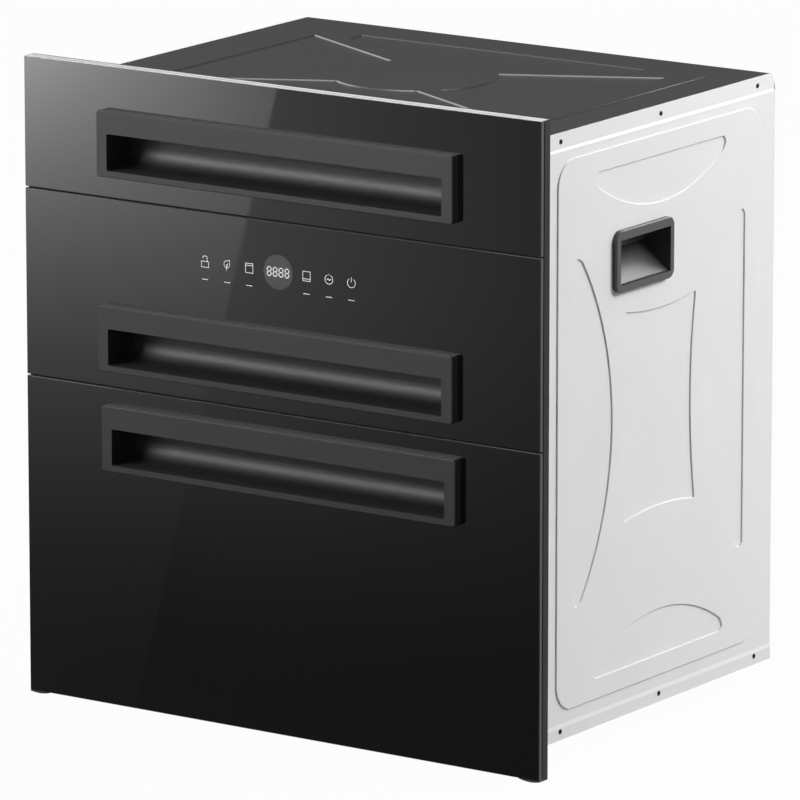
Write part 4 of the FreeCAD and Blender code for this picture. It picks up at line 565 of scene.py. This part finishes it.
def build_screws():
    """Screws with a cross recess in the places of the plain ones of the CAD."""
    base = None
    points, faces = [], []
    for group in islands(NODES["cabinet_screws"].data):
        low = Vector(min(p[i] for p in group) for i in range(3))
        high = Vector(max(p[i] for p in group) for i in range(3))
        size, centre = high - low, (low + high) / 2
        axis = max(range(3), key=lambda i: size[i])
        way = 1.0 if centre[axis] > 0 else -1.0
        radius = (size[(axis + 1) % 3] + size[(axis + 2) % 3]) / 4
        base = base or screw_mesh(radius, size[axis] - HEAD_HEIGHT)
        seat = centre.copy()
        seat[axis] = (high if way > 0 else low)[axis] - way * HEAD_HEIGHT
        direction = Vector((0, 0, 0))
        direction[axis] = way
        turn = direction.to_track_quat("Z", "Y").to_matrix().to_4x4()
        spin = Matrix.Rotation(FIRST_TURN + MORE_TURN * len(points), 4, "Z")
        place = Matrix.Translation(seat) @ turn @ spin
        start = len(points)
        points.extend(place @ Vector(p) for p in base[0])
        faces.extend(tuple(i + start for i in face) for face in base[1])
    made = piece("cross_screws", points, faces, SCREW, "cabinet")
    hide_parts("cabinet_screws")


build_screws()


# ---------------- pressed sheets, in millimetres
# y runs back from the face of the glass and z up from the floor, as in the drawings of the body.
BODY_HALF, BODY_TOP, BODY_BOTTOM, BODY_BACK = 276.4, 611.8, 24.2, 446.6
FRAME_BACK = 14.6           # where the sheets begin, behind the frame
SHEET = 0.8                 # their thickness
BACK_CORNER = 8.0           # the radius of the rolled back edge
DEPTH_SHIFT = GLASS_FACE * MM
# The pressed edges, from their high side: distance and height.
BEND = ((0.0, 1.5), (0.3, 1.4), (0.55, 1.0), (0.75, 0.0))
COVER_BEND = ((0.0, 1.3), (0.35, 1.2), (1.25, 0.1), (1.6, 0.0))
SHARP_TURN, NO_TURN = 0.35, 0.003       # radians between two steps of a line
ROUNDING_STEPS = 6                      # on either side of a point
CLOSE_POINTS = 0.01
SHARPEST_INSET = 0.4                    # the cosine at which an inset corner stops moving
TRIANGULATE_ALL, MERGE_DISTANCE = 0, 0.001
SHARP_FOLD = math.radians(60)
LEVEL_ERROR = 0.00002                   # m


def arc_through(start, middle, end, pitch):
    """Points after start up to end on the circle through three points."""
    a, b, c = (Vector(p) for p in (start, middle, end))
    d = 2 * (a.x * (b.y - c.y) + b.x * (c.y - a.y) + c.x * (a.y - b.y))
    aa, bb, cc = a.length_squared, b.length_squared, c.length_squared
    centre = Vector(((aa * (b.y - c.y) + bb * (c.y - a.y) + cc * (a.y - b.y)) / d,
                     (aa * (c.x - b.x) + bb * (a.x - c.x) + cc * (b.x - a.x)) / d))
    radius = (a - centre).length
    angle = [math.atan2(p.y - centre.y, p.x - centre.x) for p in (a, b, c)]
    turn = (angle[2] - angle[0]) % (2 * math.pi)
    if (angle[1] - angle[0]) % (2 * math.pi) > turn:
        turn -= 2 * math.pi
    count = max(2, int(abs(turn) * radius / pitch))
    angles = [angle[0] + turn * i / count for i in range(1, count + 1)]
    return [centre + Vector((math.cos(t), math.sin(t))) * radius for t in angles]


def spaced(corners, whole, pitch):
    """Places along a closed line of this length, evenly spaced from corner to corner."""
    ends = sorted(corners) or [0.0]
    places = []
    for low, high in zip(ends, ends[1:] + [ends[0] + whole]):
        parts = max(1, round((high - low) / pitch))
        places += [low + (high - low) * i / parts for i in range(parts)]
    return places


def outline(start, steps, rounding=0.0, pitch=2.0):
    """A closed line of straight steps (x, y) and arcs (x, y, x, y), with its corners rounded."""
    points = [Vector(start)]
    for step in list(steps) + [tuple(start)]:
        if len(step) == 4:
            points += arc_through(points[-1], step[:2], step[2:], pitch)
        elif (Vector(step) - points[-1]).length > 1e-6:
            points.append(Vector(step))
    points.pop()
    if sum(a.cross(b) for a, b in zip(points, points[1:] + points[:1])) < 0:
        points.reverse()
    count = len(points)
    runs = [0.0]
    for i in range(count):
        runs.append(runs[-1] + (points[(i + 1) % count] - points[i]).length)
    whole = runs[-1]

    def turn(line, i):
        """How far a closed line turns at one of its points."""
        return (line[i] - line[i - 1]).angle(line[(i + 1) % len(line)] - line[i])

    def at(run):
        """The point at a place along the line."""
        run %= whole
        i = min(max(0, bisect.bisect_right(runs, run) - 1), count - 1)
        share = (run - runs[i]) / (runs[i + 1] - runs[i])
        return points[i].lerp(points[(i + 1) % count], share)

    corners = [runs[i] for i in range(count) if turn(points, i) > SHARP_TURN]
    rounded = []
    for run in spaced(corners, whole, pitch):
        near = min((abs((run - c + whole / 2) % whole - whole / 2) for c in corners),
                   default=rounding)
        half = max(0.0, rounding - near)
        around = [at(run + half * t / ROUNDING_STEPS)
                  for t in range(-ROUNDING_STEPS, ROUNDING_STEPS + 1)]
        rounded.append(sum(around, Vector((0, 0))) / len(around))
    rounded = [point for i, point in enumerate(rounded)
               if (point - rounded[i - 1]).length > CLOSE_POINTS]
    return [point for i, point in enumerate(rounded) if turn(rounded, i) > NO_TURN]


def inset(points, distance):
    """A closed anticlockwise line moved inwards."""
    moved = []
    for i, point in enumerate(points):
        ahead = (points[(i + 1) % len(points)] - point).normalized()
        behind = (point - points[i - 1]).normalized()
        side = Vector((-ahead.y - behind.y, ahead.x + behind.x)).normalized()
        share = max(SHARPEST_INSET, side.dot(Vector((-ahead.y, ahead.x))))
        moved.append(point + side * distance / share)
    return moved


def rectangle(u_span, v_span, radius):
    """A closed line with round corners."""
    (u0, u1), (v0, v1) = u_span, v_span
    k, r = radius * (1 - math.sqrt(0.5)), radius
    return outline((u0 + r, v0), [
        (u1 - r, v0), (u1 - k, v0 + k, u1, v0 + r), (u1, v1 - r), (u1 - k, v1 - k, u1 - r, v1),
        (u0 + r, v1), (u0 + k, v1 - k, u0, v1 - r), (u0, v0 + r), (u0 + k, v0 + k, u0 + r, v0)])


def pressed_sheet(edge, plateau, fields, bend, hole=None, lines=()):
    """Points (u, v, height) and triangles of a sheet with a raised plateau and sunk fields.
    The edge and each of the lines are (points, heights). A line is an extra row of points across
    the sheet, such as a stepped edge."""
    flat, heights, links = [], [], []

    def add(points, level, closed=True):
        start, count = len(flat), len(points)
        flat.extend(points)
        heights.extend(level if isinstance(level, list) else [level] * count)
        links.extend((start + i, start + (i + 1) % count)
                     for i in range(count if closed else count - 1))

    add(*edge)
    for points, level in lines:
        add(points, level, False)
    for distance, height in bend:
        add(inset(plateau, bend[-1][0] - distance), height)
        for field in fields:
            add(inset(field, distance), height)
    if hole:
        add(hole, bend[0][1])
    places, _, faces, origins, _, _ = delaunay_2d_cdt(flat, links, [], TRIANGULATE_ALL,
                                                      MERGE_DISTANCE)
    points = [(p.x, p.y, heights[origin[0]]) for p, origin in zip(places, origins)]
    if not hole:
        return points, faces
    low = [min(p[i] for p in hole) for i in (0, 1)]
    high = [max(p[i] for p in hole) for i in (0, 1)]

    def in_hole(face):
        middle = sum((places[i] for i in face), Vector((0, 0))) / len(face)
        return (low[0] < middle.x < high[0] and low[1] < middle.y < high[1]
                and all(any((places[i] - h).length < MERGE_DISTANCE for h in hole) for i in face))

    return points, [face for face in faces if not in_hole(face)]


def sheet_piece(name, points, faces, node_name, material, folds=()):
    """A pressed sheet of real thickness in place of a CAD node. Its points are in metres and its
    faces look outwards. Its level folds, at these heights, stay crisp."""
    made = piece(name, points, faces, material, "cabinet")
    mesh = made.data
    mesh.shade_smooth()
    mesh.set_sharp_from_angle(angle=SHARP_FOLD)
    uses = {}
    for polygon in mesh.polygons:
        for key in polygon.edge_keys:
            uses[key] = uses.get(key, 0) + 1
    for edge in mesh.edges:
        ends = [mesh.vertices[i].co.z for i in edge.vertices]
        level = any(abs(ends[0] - z) + abs(ends[1] - z) < LEVEL_ERROR for z in folds)
        if level or uses[edge.key] == 1:
            edge.use_edge_sharp = True
    thickness = made.modifiers.new("thickness", "SOLIDIFY")
    thickness.thickness = SHEET / MM
    thickness.offset = -1.0
    crisp = made.modifiers.new("crisp", "WEIGHTED_NORMAL")
    crisp.keep_sharp = True
    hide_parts(node_name)


# ---------------- side panels, in millimetres
STEP_HIGH = BODY_TOP - 15.6             # the step below the top edge
STEP_LOW = STEP_HIGH - 2.6
STEP_DROP = 1.2
STEP_CLEAR = (9.0, 4.0)                 # below and above the step, where the edge has no points
SAME_HEIGHT = 0.01
SIDE_BOTTOM = BODY_BOTTOM + 1.0
EDGE_PITCH = 12.0
EDGE_MIDDLE = (230.0, 318.0)            # y and z of a point well inside the edge
PLATE_Y = (FRAME_BACK + 48.0, BODY_BACK - 27.0)
PLATE_Z = (BODY_BOTTOM + 27.0, BODY_TOP - 27.0)
PLATE_CORNER = 27.0
# The bow-shaped fields: from the plate's edge, half of the length, and the depth.
UPRIGHT_BOW = (27.5, 169.0, 68.0)
LEVEL_BOW = (20.0, 115.0, 47.0)
BLUNT_TIP, TIP_ROUNDING = 12.0, 9.0
WAIST_HALF = (63.5, 103.5)              # half of the middle field's width and height
WAIST_IN, WAIST_SAG, WAIST_ROUNDING = 8.5, 6.0, 5.0
CUP_LAP, CUP_CORNER = 2.5, 7.0
FLANGE_Y = (FRAME_BACK + 0.4, BODY_BACK - 1.6)
FLANGE_Z = (40.0, 585.0)
FLANGE_DEPTH = 14.0


def bow_field(edge, mid, half_chord, rise, upright):
    """A sunk field between a straight side and a bowed side, with rounded blunt tips."""
    tip = math.copysign(BLUNT_TIP, rise)

    def at(u, v):
        return (u, v) if upright else (v, u)

    return outline(at(edge, mid - half_chord), [
        at(edge, mid + half_chord), at(edge + tip, mid + half_chord),
        at(edge + rise, mid) + at(edge + tip, mid - half_chord)], TIP_ROUNDING)


def side_fields():
    """Four bow-shaped fields round one with a waist."""
    y_mid, z_mid = sum(PLATE_Y) / 2, sum(PLATE_Z) / 2
    fields = []
    for i, way in ((0, 1), (1, -1)):
        for span, mid, (back, half, rise), upright in (
                (PLATE_Y, z_mid, UPRIGHT_BOW, True), (PLATE_Z, y_mid, LEVEL_BOW, False)):
            fields.append(bow_field(span[i] + way * back, mid, half, way * rise, upright))
    (w, h), waist, sag = WAIST_HALF, WAIST_IN, WAIST_SAG
    fields.append(outline((y_mid - w, z_mid - h), [
        (y_mid, z_mid - h + sag, y_mid + w, z_mid - h),
        (y_mid + w - waist, z_mid, y_mid + w, z_mid + h),
        (y_mid, z_mid + h - sag, y_mid - w, z_mid + h),
        (y_mid - w + waist, z_mid, y_mid - w, z_mid - h)], WAIST_ROUNDING))
    return fields


def side_edge():
    """The edge of a side panel and the heights of its points. It is stepped along the top, and
    only the ends of the step have points near the step."""
    turn = BACK_CORNER * (1 - math.sqrt(0.5))
    edge = outline((FRAME_BACK, SIDE_BOTTOM), [
        (BODY_BACK, SIDE_BOTTOM), (BODY_BACK, BODY_TOP - BACK_CORNER),
        (BODY_BACK - turn, BODY_TOP - turn, BODY_BACK - BACK_CORNER, BODY_TOP),
        (FRAME_BACK, BODY_TOP)], pitch=EDGE_PITCH)
    edge = [p for p in edge if not STEP_LOW - STEP_CLEAR[0] < p.y < STEP_HIGH + STEP_CLEAR[1]]
    edge += [Vector((y, z)) for y in (FRAME_BACK, BODY_BACK) for z in (STEP_LOW, STEP_HIGH)]
    edge.sort(key=lambda p: math.atan2(p.y - EDGE_MIDDLE[1], p.x - EDGE_MIDDLE[0]))
    return edge, [-STEP_DROP if p.y > STEP_HIGH - SAME_HEIGHT else 0.0 for p in edge]


def side_sheets():
    """The white side panels: stepped along the top, pressed, and open behind the carry cups."""
    step = [([Vector((FRAME_BACK, z)), Vector((BODY_BACK, z))], [height, height])
            for z, height in ((STEP_LOW, 0.0), (STEP_HIGH, -STEP_DROP))]
    cup_low, cup_high = (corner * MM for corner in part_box("carry_cup_right"))
    hole = rectangle((cup_low.y - DEPTH_SHIFT + CUP_LAP, cup_high.y - DEPTH_SHIFT - CUP_LAP),
                     (cup_low.z + CUP_LAP, cup_high.z - CUP_LAP), CUP_CORNER)
    points, faces = pressed_sheet(side_edge(), rectangle(PLATE_Y, PLATE_Z, PLATE_CORNER),
                                  side_fields(), BEND, hole, step)
    start = len(points)
    for y in FLANGE_Y:
        points += [(y, FLANGE_Z[0], -SHEET), (y, FLANGE_Z[1], -SHEET),
                   (y, FLANGE_Z[1], -FLANGE_DEPTH), (y, FLANGE_Z[0], -FLANGE_DEPTH)]
    faces = list(faces) + [tuple(range(start, start + 4)),
                           tuple(range(start + 7, start + 3, -1))]
    for way, name in ((1, "right"), (-1, "left")):
        placed = [(way * (BODY_HALF + height) / MM, (y + DEPTH_SHIFT) / MM, z / MM)
                  for y, z, height in points]
        turned = faces if way > 0 else [tuple(reversed(face)) for face in faces]
        sheet_piece("side_sheet_" + name, placed, turned, "side_panel_" + name, WHITE_STEEL,
                    (STEP_LOW / MM, STEP_HIGH / MM))


# ---------------- top cover, in millimetres
COVER_HALF = BODY_HALF - 2.2
COVER_BACK = BODY_BACK - BACK_CORNER
COVER_LIP = BODY_TOP - 18.0             # how far the cover's edges reach down
COVER_LIP_IN = 14.0                     # from its ends to those of its side edges
PLATEAU_X = COVER_HALF - 39.2
PLATEAU_Y = (FRAME_BACK + 50.0, BODY_BACK - 50.0)
PLATEAU_CORNER = 14.0
BOSS_RADIUS = 80.0
ARM_TURN = math.radians(27.3)           # of the four arms between the fields, from the x axis
ARM_HALF = 9.5
ARM_OFFSET = 30.0                       # where an arm's middle would cross the y axis
SIDE_FIELD_X = BODY_HALF - 68.4
END_FIELD_X = 168.0
END_FIELD_IN = 14.0
FIELD_ROUNDING = 4.0
CORNER_STEPS = 8


def boss_crossing(slope, offset):
    """Where a line of this slope and offset leaves the round boss."""
    a, b = 1 + slope ** 2, slope * offset
    x = (math.sqrt(b ** 2 - a * (offset ** 2 - BOSS_RADIUS ** 2)) - b) / a
    return x, slope * x + offset


def cover_fields():
    """Four sunk fields round the boss in the middle of the top cover."""
    y_mid, y_half = sum(PLATEAU_Y) / 2, (PLATEAU_Y[1] - PLATEAU_Y[0]) / 2
    slope, shift = math.tan(ARM_TURN), ARM_HALF / math.cos(ARM_TURN)
    low, high = ARM_OFFSET - shift, ARM_OFFSET + shift
    far = y_half - END_FIELD_IN
    x_side, x_end = SIDE_FIELD_X, END_FIELD_X
    fields = []
    for way in (-1, 1):
        x, y = boss_crossing(slope, low)
        reach = x_side * slope + low
        fields.append(outline((way * x_side, y_mid - reach), [
            (way * x, y_mid - y), (way * BOSS_RADIUS, y_mid, way * x, y_mid + y),
            (way * x_side, y_mid + reach)], FIELD_ROUNDING))
        x, y = boss_crossing(slope, high)
        reach = x_end * slope + high
        fields.append(outline((-x_end, y_mid + way * far), [
            (-x_end, y_mid + way * reach), (-x, y_mid + way * y),
            (0, y_mid + way * BOSS_RADIUS, x, y_mid + way * y),
            (x_end, y_mid + way * reach), (x_end, y_mid + way * far)], FIELD_ROUNDING))
    return fields


def cover_sheet():
    """The dark top cover with its boss, its pressed fields, its rolled back edge and its side
    edges."""
    edge = [Vector((x, y)) for x, y in ((-COVER_HALF, FRAME_BACK), (COVER_HALF, FRAME_BACK),
                                        (COVER_HALF, COVER_BACK), (-COVER_HALF, COVER_BACK))]
    points, faces = pressed_sheet(
        (edge, 0.0), rectangle((-PLATEAU_X, PLATEAU_X), PLATEAU_Y, PLATEAU_CORNER),
        cover_fields(), COVER_BEND)
    points = [(x, y, BODY_TOP + height) for x, y, height in points]
    faces = list(faces)
    angles = [math.pi / 2 * i / CORNER_STEPS for i in range(CORNER_STEPS + 1)]
    profile = [(COVER_BACK + BACK_CORNER * math.sin(a),
                BODY_TOP - BACK_CORNER + BACK_CORNER * math.cos(a)) for a in angles]
    profile.append((BODY_BACK, COVER_LIP))
    start = len(points)
    points += [(x, y, z) for y, z in profile for x in (-COVER_HALF, COVER_HALF)]
    faces += [(start + i, start + i + 1, start + i + 3, start + i + 2)
              for i in range(0, 2 * len(profile) - 2, 2)]
    near, far = FRAME_BACK + COVER_LIP_IN, COVER_BACK - COVER_LIP_IN
    for way in (1, -1):
        start = len(points)
        points += [(way * COVER_HALF, y, z) for y, z in (
            (near, BODY_TOP), (near, COVER_LIP), (far, COVER_LIP), (far, BODY_TOP))]
        faces.append(tuple(range(start, start + 4) if way > 0 else range(start + 3, start - 1, -1)))
    placed = [(x / MM, (y + DEPTH_SHIFT) / MM, z / MM) for x, y, z in points]
    sheet_piece("cover_sheet", placed, faces, "top_cover", COVER_STEEL)


side_sheets()
cover_sheet()


# ---------------- stage
WHITE = (1.0, 1.0, 1.0, 1.0)
SQUARE = [(0, 1, 2, 3)]
FLOOR_REACH = 30.0                      # m
FLOOR_FRONT, FLOOR_BACK = (0.10, 0.10, 0.10), (0.3, 0.3, 0.3)
FLOOR_CHANGE = (-0.7, -0.1)             # m, the y between which the floor lightens
FLOOR_WHITE = 0.975                     # how white the floor looks
WORLD_CHANGE = (-0.35, 0.25)            # the y of a direction between which the world lightens
WORLD_STRENGTH = (0.03, 0.40)


def show(tree, kind, surface):
    """Makes a surface the output of a tree."""
    output = node(tree, kind)
    tree.links.new(surface, output.inputs["Surface"])


def camera_white(tree, lit, share):
    """Mixes a lit surface with plain white for rays that see it straight, in a mirror or through
    something clear."""
    path = node(tree, "ShaderNodeLightPath")
    seen = combine(tree, "MAXIMUM", path.outputs["Is Camera Ray"], path.outputs["Is Glossy Ray"])
    seen = combine(tree, "MAXIMUM", seen, path.outputs["Is Transmission Ray"])
    part = node(tree, "ShaderNodeMath", operation="MULTIPLY")
    part.inputs[1].default_value = share
    tree.links.new(seen, part.inputs[0])
    white = node(tree, "ShaderNodeEmission", Color=WHITE, Strength=1.0)
    mix = node(tree, "ShaderNodeMixShader")
    tree.links.new(part.outputs["Value"], mix.inputs["Fac"])
    tree.links.new(lit, mix.inputs[1])
    tree.links.new(white.outputs["Emission"], mix.inputs[2])
    return mix.outputs["Shader"]


def build_world():
    """A world that lights less from the front than from the back."""
    world = bpy.data.worlds.new("studio")
    bpy.context.scene.world = world
    tree = empty_tree(world)
    coords = node(tree, "ShaderNodeTexCoord")
    direction = node(tree, "ShaderNodeSeparateXYZ")
    tree.links.new(coords.outputs["Generated"], direction.inputs["Vector"])
    ambient = node(tree, "ShaderNodeBackground", Color=WHITE)
    strength = spread(tree, direction.outputs["Y"], WORLD_CHANGE, WORLD_STRENGTH)
    tree.links.new(strength, ambient.inputs["Strength"])
    show(tree, "ShaderNodeOutputWorld", camera_white(tree, ambient.outputs["Background"], 1.0))


def build_floor():
    """A floor that looks white, and sheds less light on the part from the front."""
    material = bpy.data.materials.new("floor")
    tree = empty_tree(material)
    matt = node(tree, "ShaderNodeBsdfDiffuse")
    coords = node(tree, "ShaderNodeTexCoord")
    place = node(tree, "ShaderNodeSeparateXYZ")
    tree.links.new(coords.outputs["Object"], place.inputs["Vector"])
    depth = spread(tree, place.outputs["Y"], FLOOR_CHANGE)
    tree.links.new(ramp(tree, depth, FLOOR_FRONT, FLOOR_BACK, (0.0, 1.0)), matt.inputs["Color"])
    show(tree, "ShaderNodeOutputMaterial", camera_white(tree, matt.outputs["BSDF"], FLOOR_WHITE))
    reach = FLOOR_REACH
    corners = [(-reach, -reach, 0), (reach, -reach, 0), (reach, reach, 0), (-reach, reach, 0)]
    floor = mesh_object("floor", corners, SQUARE, material)
    bpy.context.scene.collection.objects.link(floor)


build_world()
build_floor()


# ---------------- cards that only mirrors see
def only_mirrored(card):
    """A card of the studio that shows in reflections and nowhere else."""
    bpy.context.scene.collection.objects.link(card)
    card.visible_camera = False
    card.visible_diffuse = False
    card.visible_shadow = False
    card.visible_transmission = False


def glow_material(name, strength, attribute=None):
    """A material that glows with one strength, or with that of an attribute of the mesh."""
    material = bpy.data.materials.new(name)
    tree = empty_tree(material)
    light = node(tree, "ShaderNodeEmission", Strength=strength)
    if attribute:
        source = node(tree, "ShaderNodeAttribute", attribute_name=attribute)
        tree.links.new(source.outputs["Fac"], light.inputs["Strength"])
    show(tree, "ShaderNodeOutputMaterial", light.outputs["Emission"])
    return material


# The window card lies on the floor, where the main camera sees it mirrored in the glass: a soft
# window with a slanted edge, left of a dim wall. x and z are millimetres on the glass, and its
# greys, 0 to 255, are those that the glass should show. The numbers were fitted to the photo.
MIRROR_SHARE = 0.0645       # of the light that the glass mirrors at the camera's angle
CARD_LEVEL = 0.003          # m above the floor
WINDOW_TOP = 631
WINDOW_EDGE = -1.3          # x of the window's edge at its top
WINDOW_SLANT = 0.2715       # how far the edge goes left for each millimetre down
FULL_HEIGHT = 625
WINDOW_LOW, WINDOW_GAIN, WINDOW_POWER, WINDOW_MOST = 23, 104, 1.85, 150
FALL_LOW, FALL_GAIN, FALL_POWER, FALL_MOST = 0.015, 0.185, 4.5, 1.05
FALL_FROM, FALL_END = -225, -600
WALL_LOW, WALL_GAIN, WALL_RISE = 20, 36, (40, 505)
WALL_FALL_LOW, WALL_FALL_GAIN, WALL_FALL_SPAN = 0.005, 0.055, (-60, 400)
DARKEST_GREY = 10
CARD_ROWS = [3.2, 6] + [12 + 12 * i for i in range(60)] + [760 + 60 * i for i in range(12)]
CARD_STEPS, CARD_LEFT, CARD_RIGHT, EDGE_HALF = 24, 900, 1200, 1.0


def window_edge(z):
    """The x of the window's slanted edge at a height."""
    return WINDOW_EDGE - WINDOW_SLANT * (WINDOW_TOP - z)


def soft_step(value, low, high):
    """0 below low and 1 above high, with a smooth rise between them."""
    t = min(1.0, max(0.0, (value - low) / (high - low)))
    return t * t * (3 - 2 * t)


def window_grey(x, z):
    """The grey that the glass shows: the window brightens with height and towards the left, and
    the wall brightens with height and dims towards the right."""
    if x < window_edge(z):
        height = z / FULL_HEIGHT
        fall = FALL_LOW + FALL_GAIN * min(height, FALL_MOST) ** FALL_POWER
        grey = min(WINDOW_MOST, WINDOW_LOW + WINDOW_GAIN * height ** WINDOW_POWER)
        return grey - fall * (max(FALL_END, x) - FALL_FROM)
    rise = soft_step(z, *WALL_RISE)
    low, high = WALL_FALL_SPAN
    fall = WALL_FALL_LOW + WALL_FALL_GAIN * rise
    return WALL_LOW + WALL_GAIN * rise - fall * max(low, min(high, x))


def light_of(grey):
    """The strength that gives a grey in the mirror, by the sRGB curve."""
    share = max(grey, DARKEST_GREY) / 255
    linear = share / 12.92 if share <= 0.04045 else ((share + 0.055) / 1.055) ** 2.4
    return linear / MIRROR_SHARE


def mirror_place(x, z, level):
    """Where the camera sees this level mirrored at a point of the glass's plane, in metres."""
    point = Vector((x, GLASS_FACE, z))
    ray = (point - CAMERA_PLACE).normalized()
    ray.y = -ray.y
    return point + ray * ((level - z) / ray.z)


def window_card():
    """The card with the window, finer near the window's edge, with its light at each point."""
    rows = []
    for z in CARD_ROWS:
        edge = window_edge(z)
        shares = [i / CARD_STEPS for i in range(CARD_STEPS + 1)]
        xs = [edge - CARD_LEFT * (1 - share) ** 2 - EDGE_HALF for share in shares]
        xs += [edge + EDGE_HALF + CARD_RIGHT * share ** 2 for share in shares]
        rows.append([(x, z) for x in xs])
    points = [mirror_place(x / MM, z / MM, CARD_LEVEL) for row in rows for x, z in row]
    glow = [light_of(window_grey(x, z)) for row in rows for x, z in row]
    wide = len(rows[0])
    faces = [(r * wide + i, r * wide + i + 1, (r + 1) * wide + i + 1, (r + 1) * wide + i)
             for r in range(len(rows) - 1) for i in range(wide - 1)]
    card = mesh_object("window_card", points, faces, glow_material("window_card", 1.0, "glow"))
    card.data.attributes.new("glow", "FLOAT", "POINT").data.foreach_set("value", glow)
    only_mirrored(card)


def upright(start, end, low, high):
    """The corners of an upright card between two places (x, y) and two heights."""
    return [(*start, low), (*end, low), (*end, high), (*start, high)]


# The plain cards, with their corners in metres and their strengths. The sheen of the pulls, the
# lines on the top cover and the light in the carry cup come from them.
CARDS = (
    ("back_card_low", upright((-9, 2.9), (2.8, 2.9), 0.01, 1.05), 0.02),
    ("back_card", upright((-9, 2.9), (2.8, 2.9), 1.05, 6.0), 0.21),
    ("left_low_card", upright((-1.2, -0.2), (-1.2, 2.9), 0.01, 0.6), 0.02),
    ("sky_card", [(-0.6, -1.7, 3.2), (0.7, -1.7, 3.2), (0.7, 0.9, 3.2), (-0.6, 0.9, 3.2)], 4.0),
    ("left_card", [(-3.3, -1.2, 1.5), (-2.2, -1.2, 2.8), (-2.2, 1.6, 2.8), (-3.3, 1.6, 1.5)], 3.0),
    ("front_card", upright((-2.9, -2.6), (-1.2, -3.5), 1.35, 3.3), 22.0),
    ("cup_card", upright((0.29, 0.28), (0.55, 0.28), 0.63, 0.75), 10.0),
)

window_card()
for name, corners, strength in CARDS:
    only_mirrored(mesh_object(name, corners, SQUARE, glow_material(name, strength)))


# ---------------- lamps
def area_light(name, place, target, size, power):
    """A soft box that lights the part and isn't mirrored in it."""
    data = bpy.data.lights.new(name, "AREA")
    data.shape = "RECTANGLE"
    data.size, data.size_y = size
    data.energy = power
    light = bpy.data.objects.new(name, data)
    light.location = place
    aim = Vector(target) - Vector(place)
    light.rotation_euler = aim.to_track_quat("-Z", "Y").to_euler()
    light.visible_camera = False
    light.visible_glossy = False
    bpy.context.scene.collection.objects.link(light)


# place and target in metres, width and height in metres, power in watts
area_light("side_soft_box", (2.5, 1.5, 2.3), (0.27, 0, 0.4), (1.4, 1.4), 104.0)
area_light("rear_soft_box", (0.9, 2.3, 1.9), (0.27, 0, 0.5), (1.2, 1.0), 16.0)
area_light("front_soft_box", (-2.0, -3.0, 1.2), (0, -0.2, 0.45), (1.6, 1.2), 45.0)
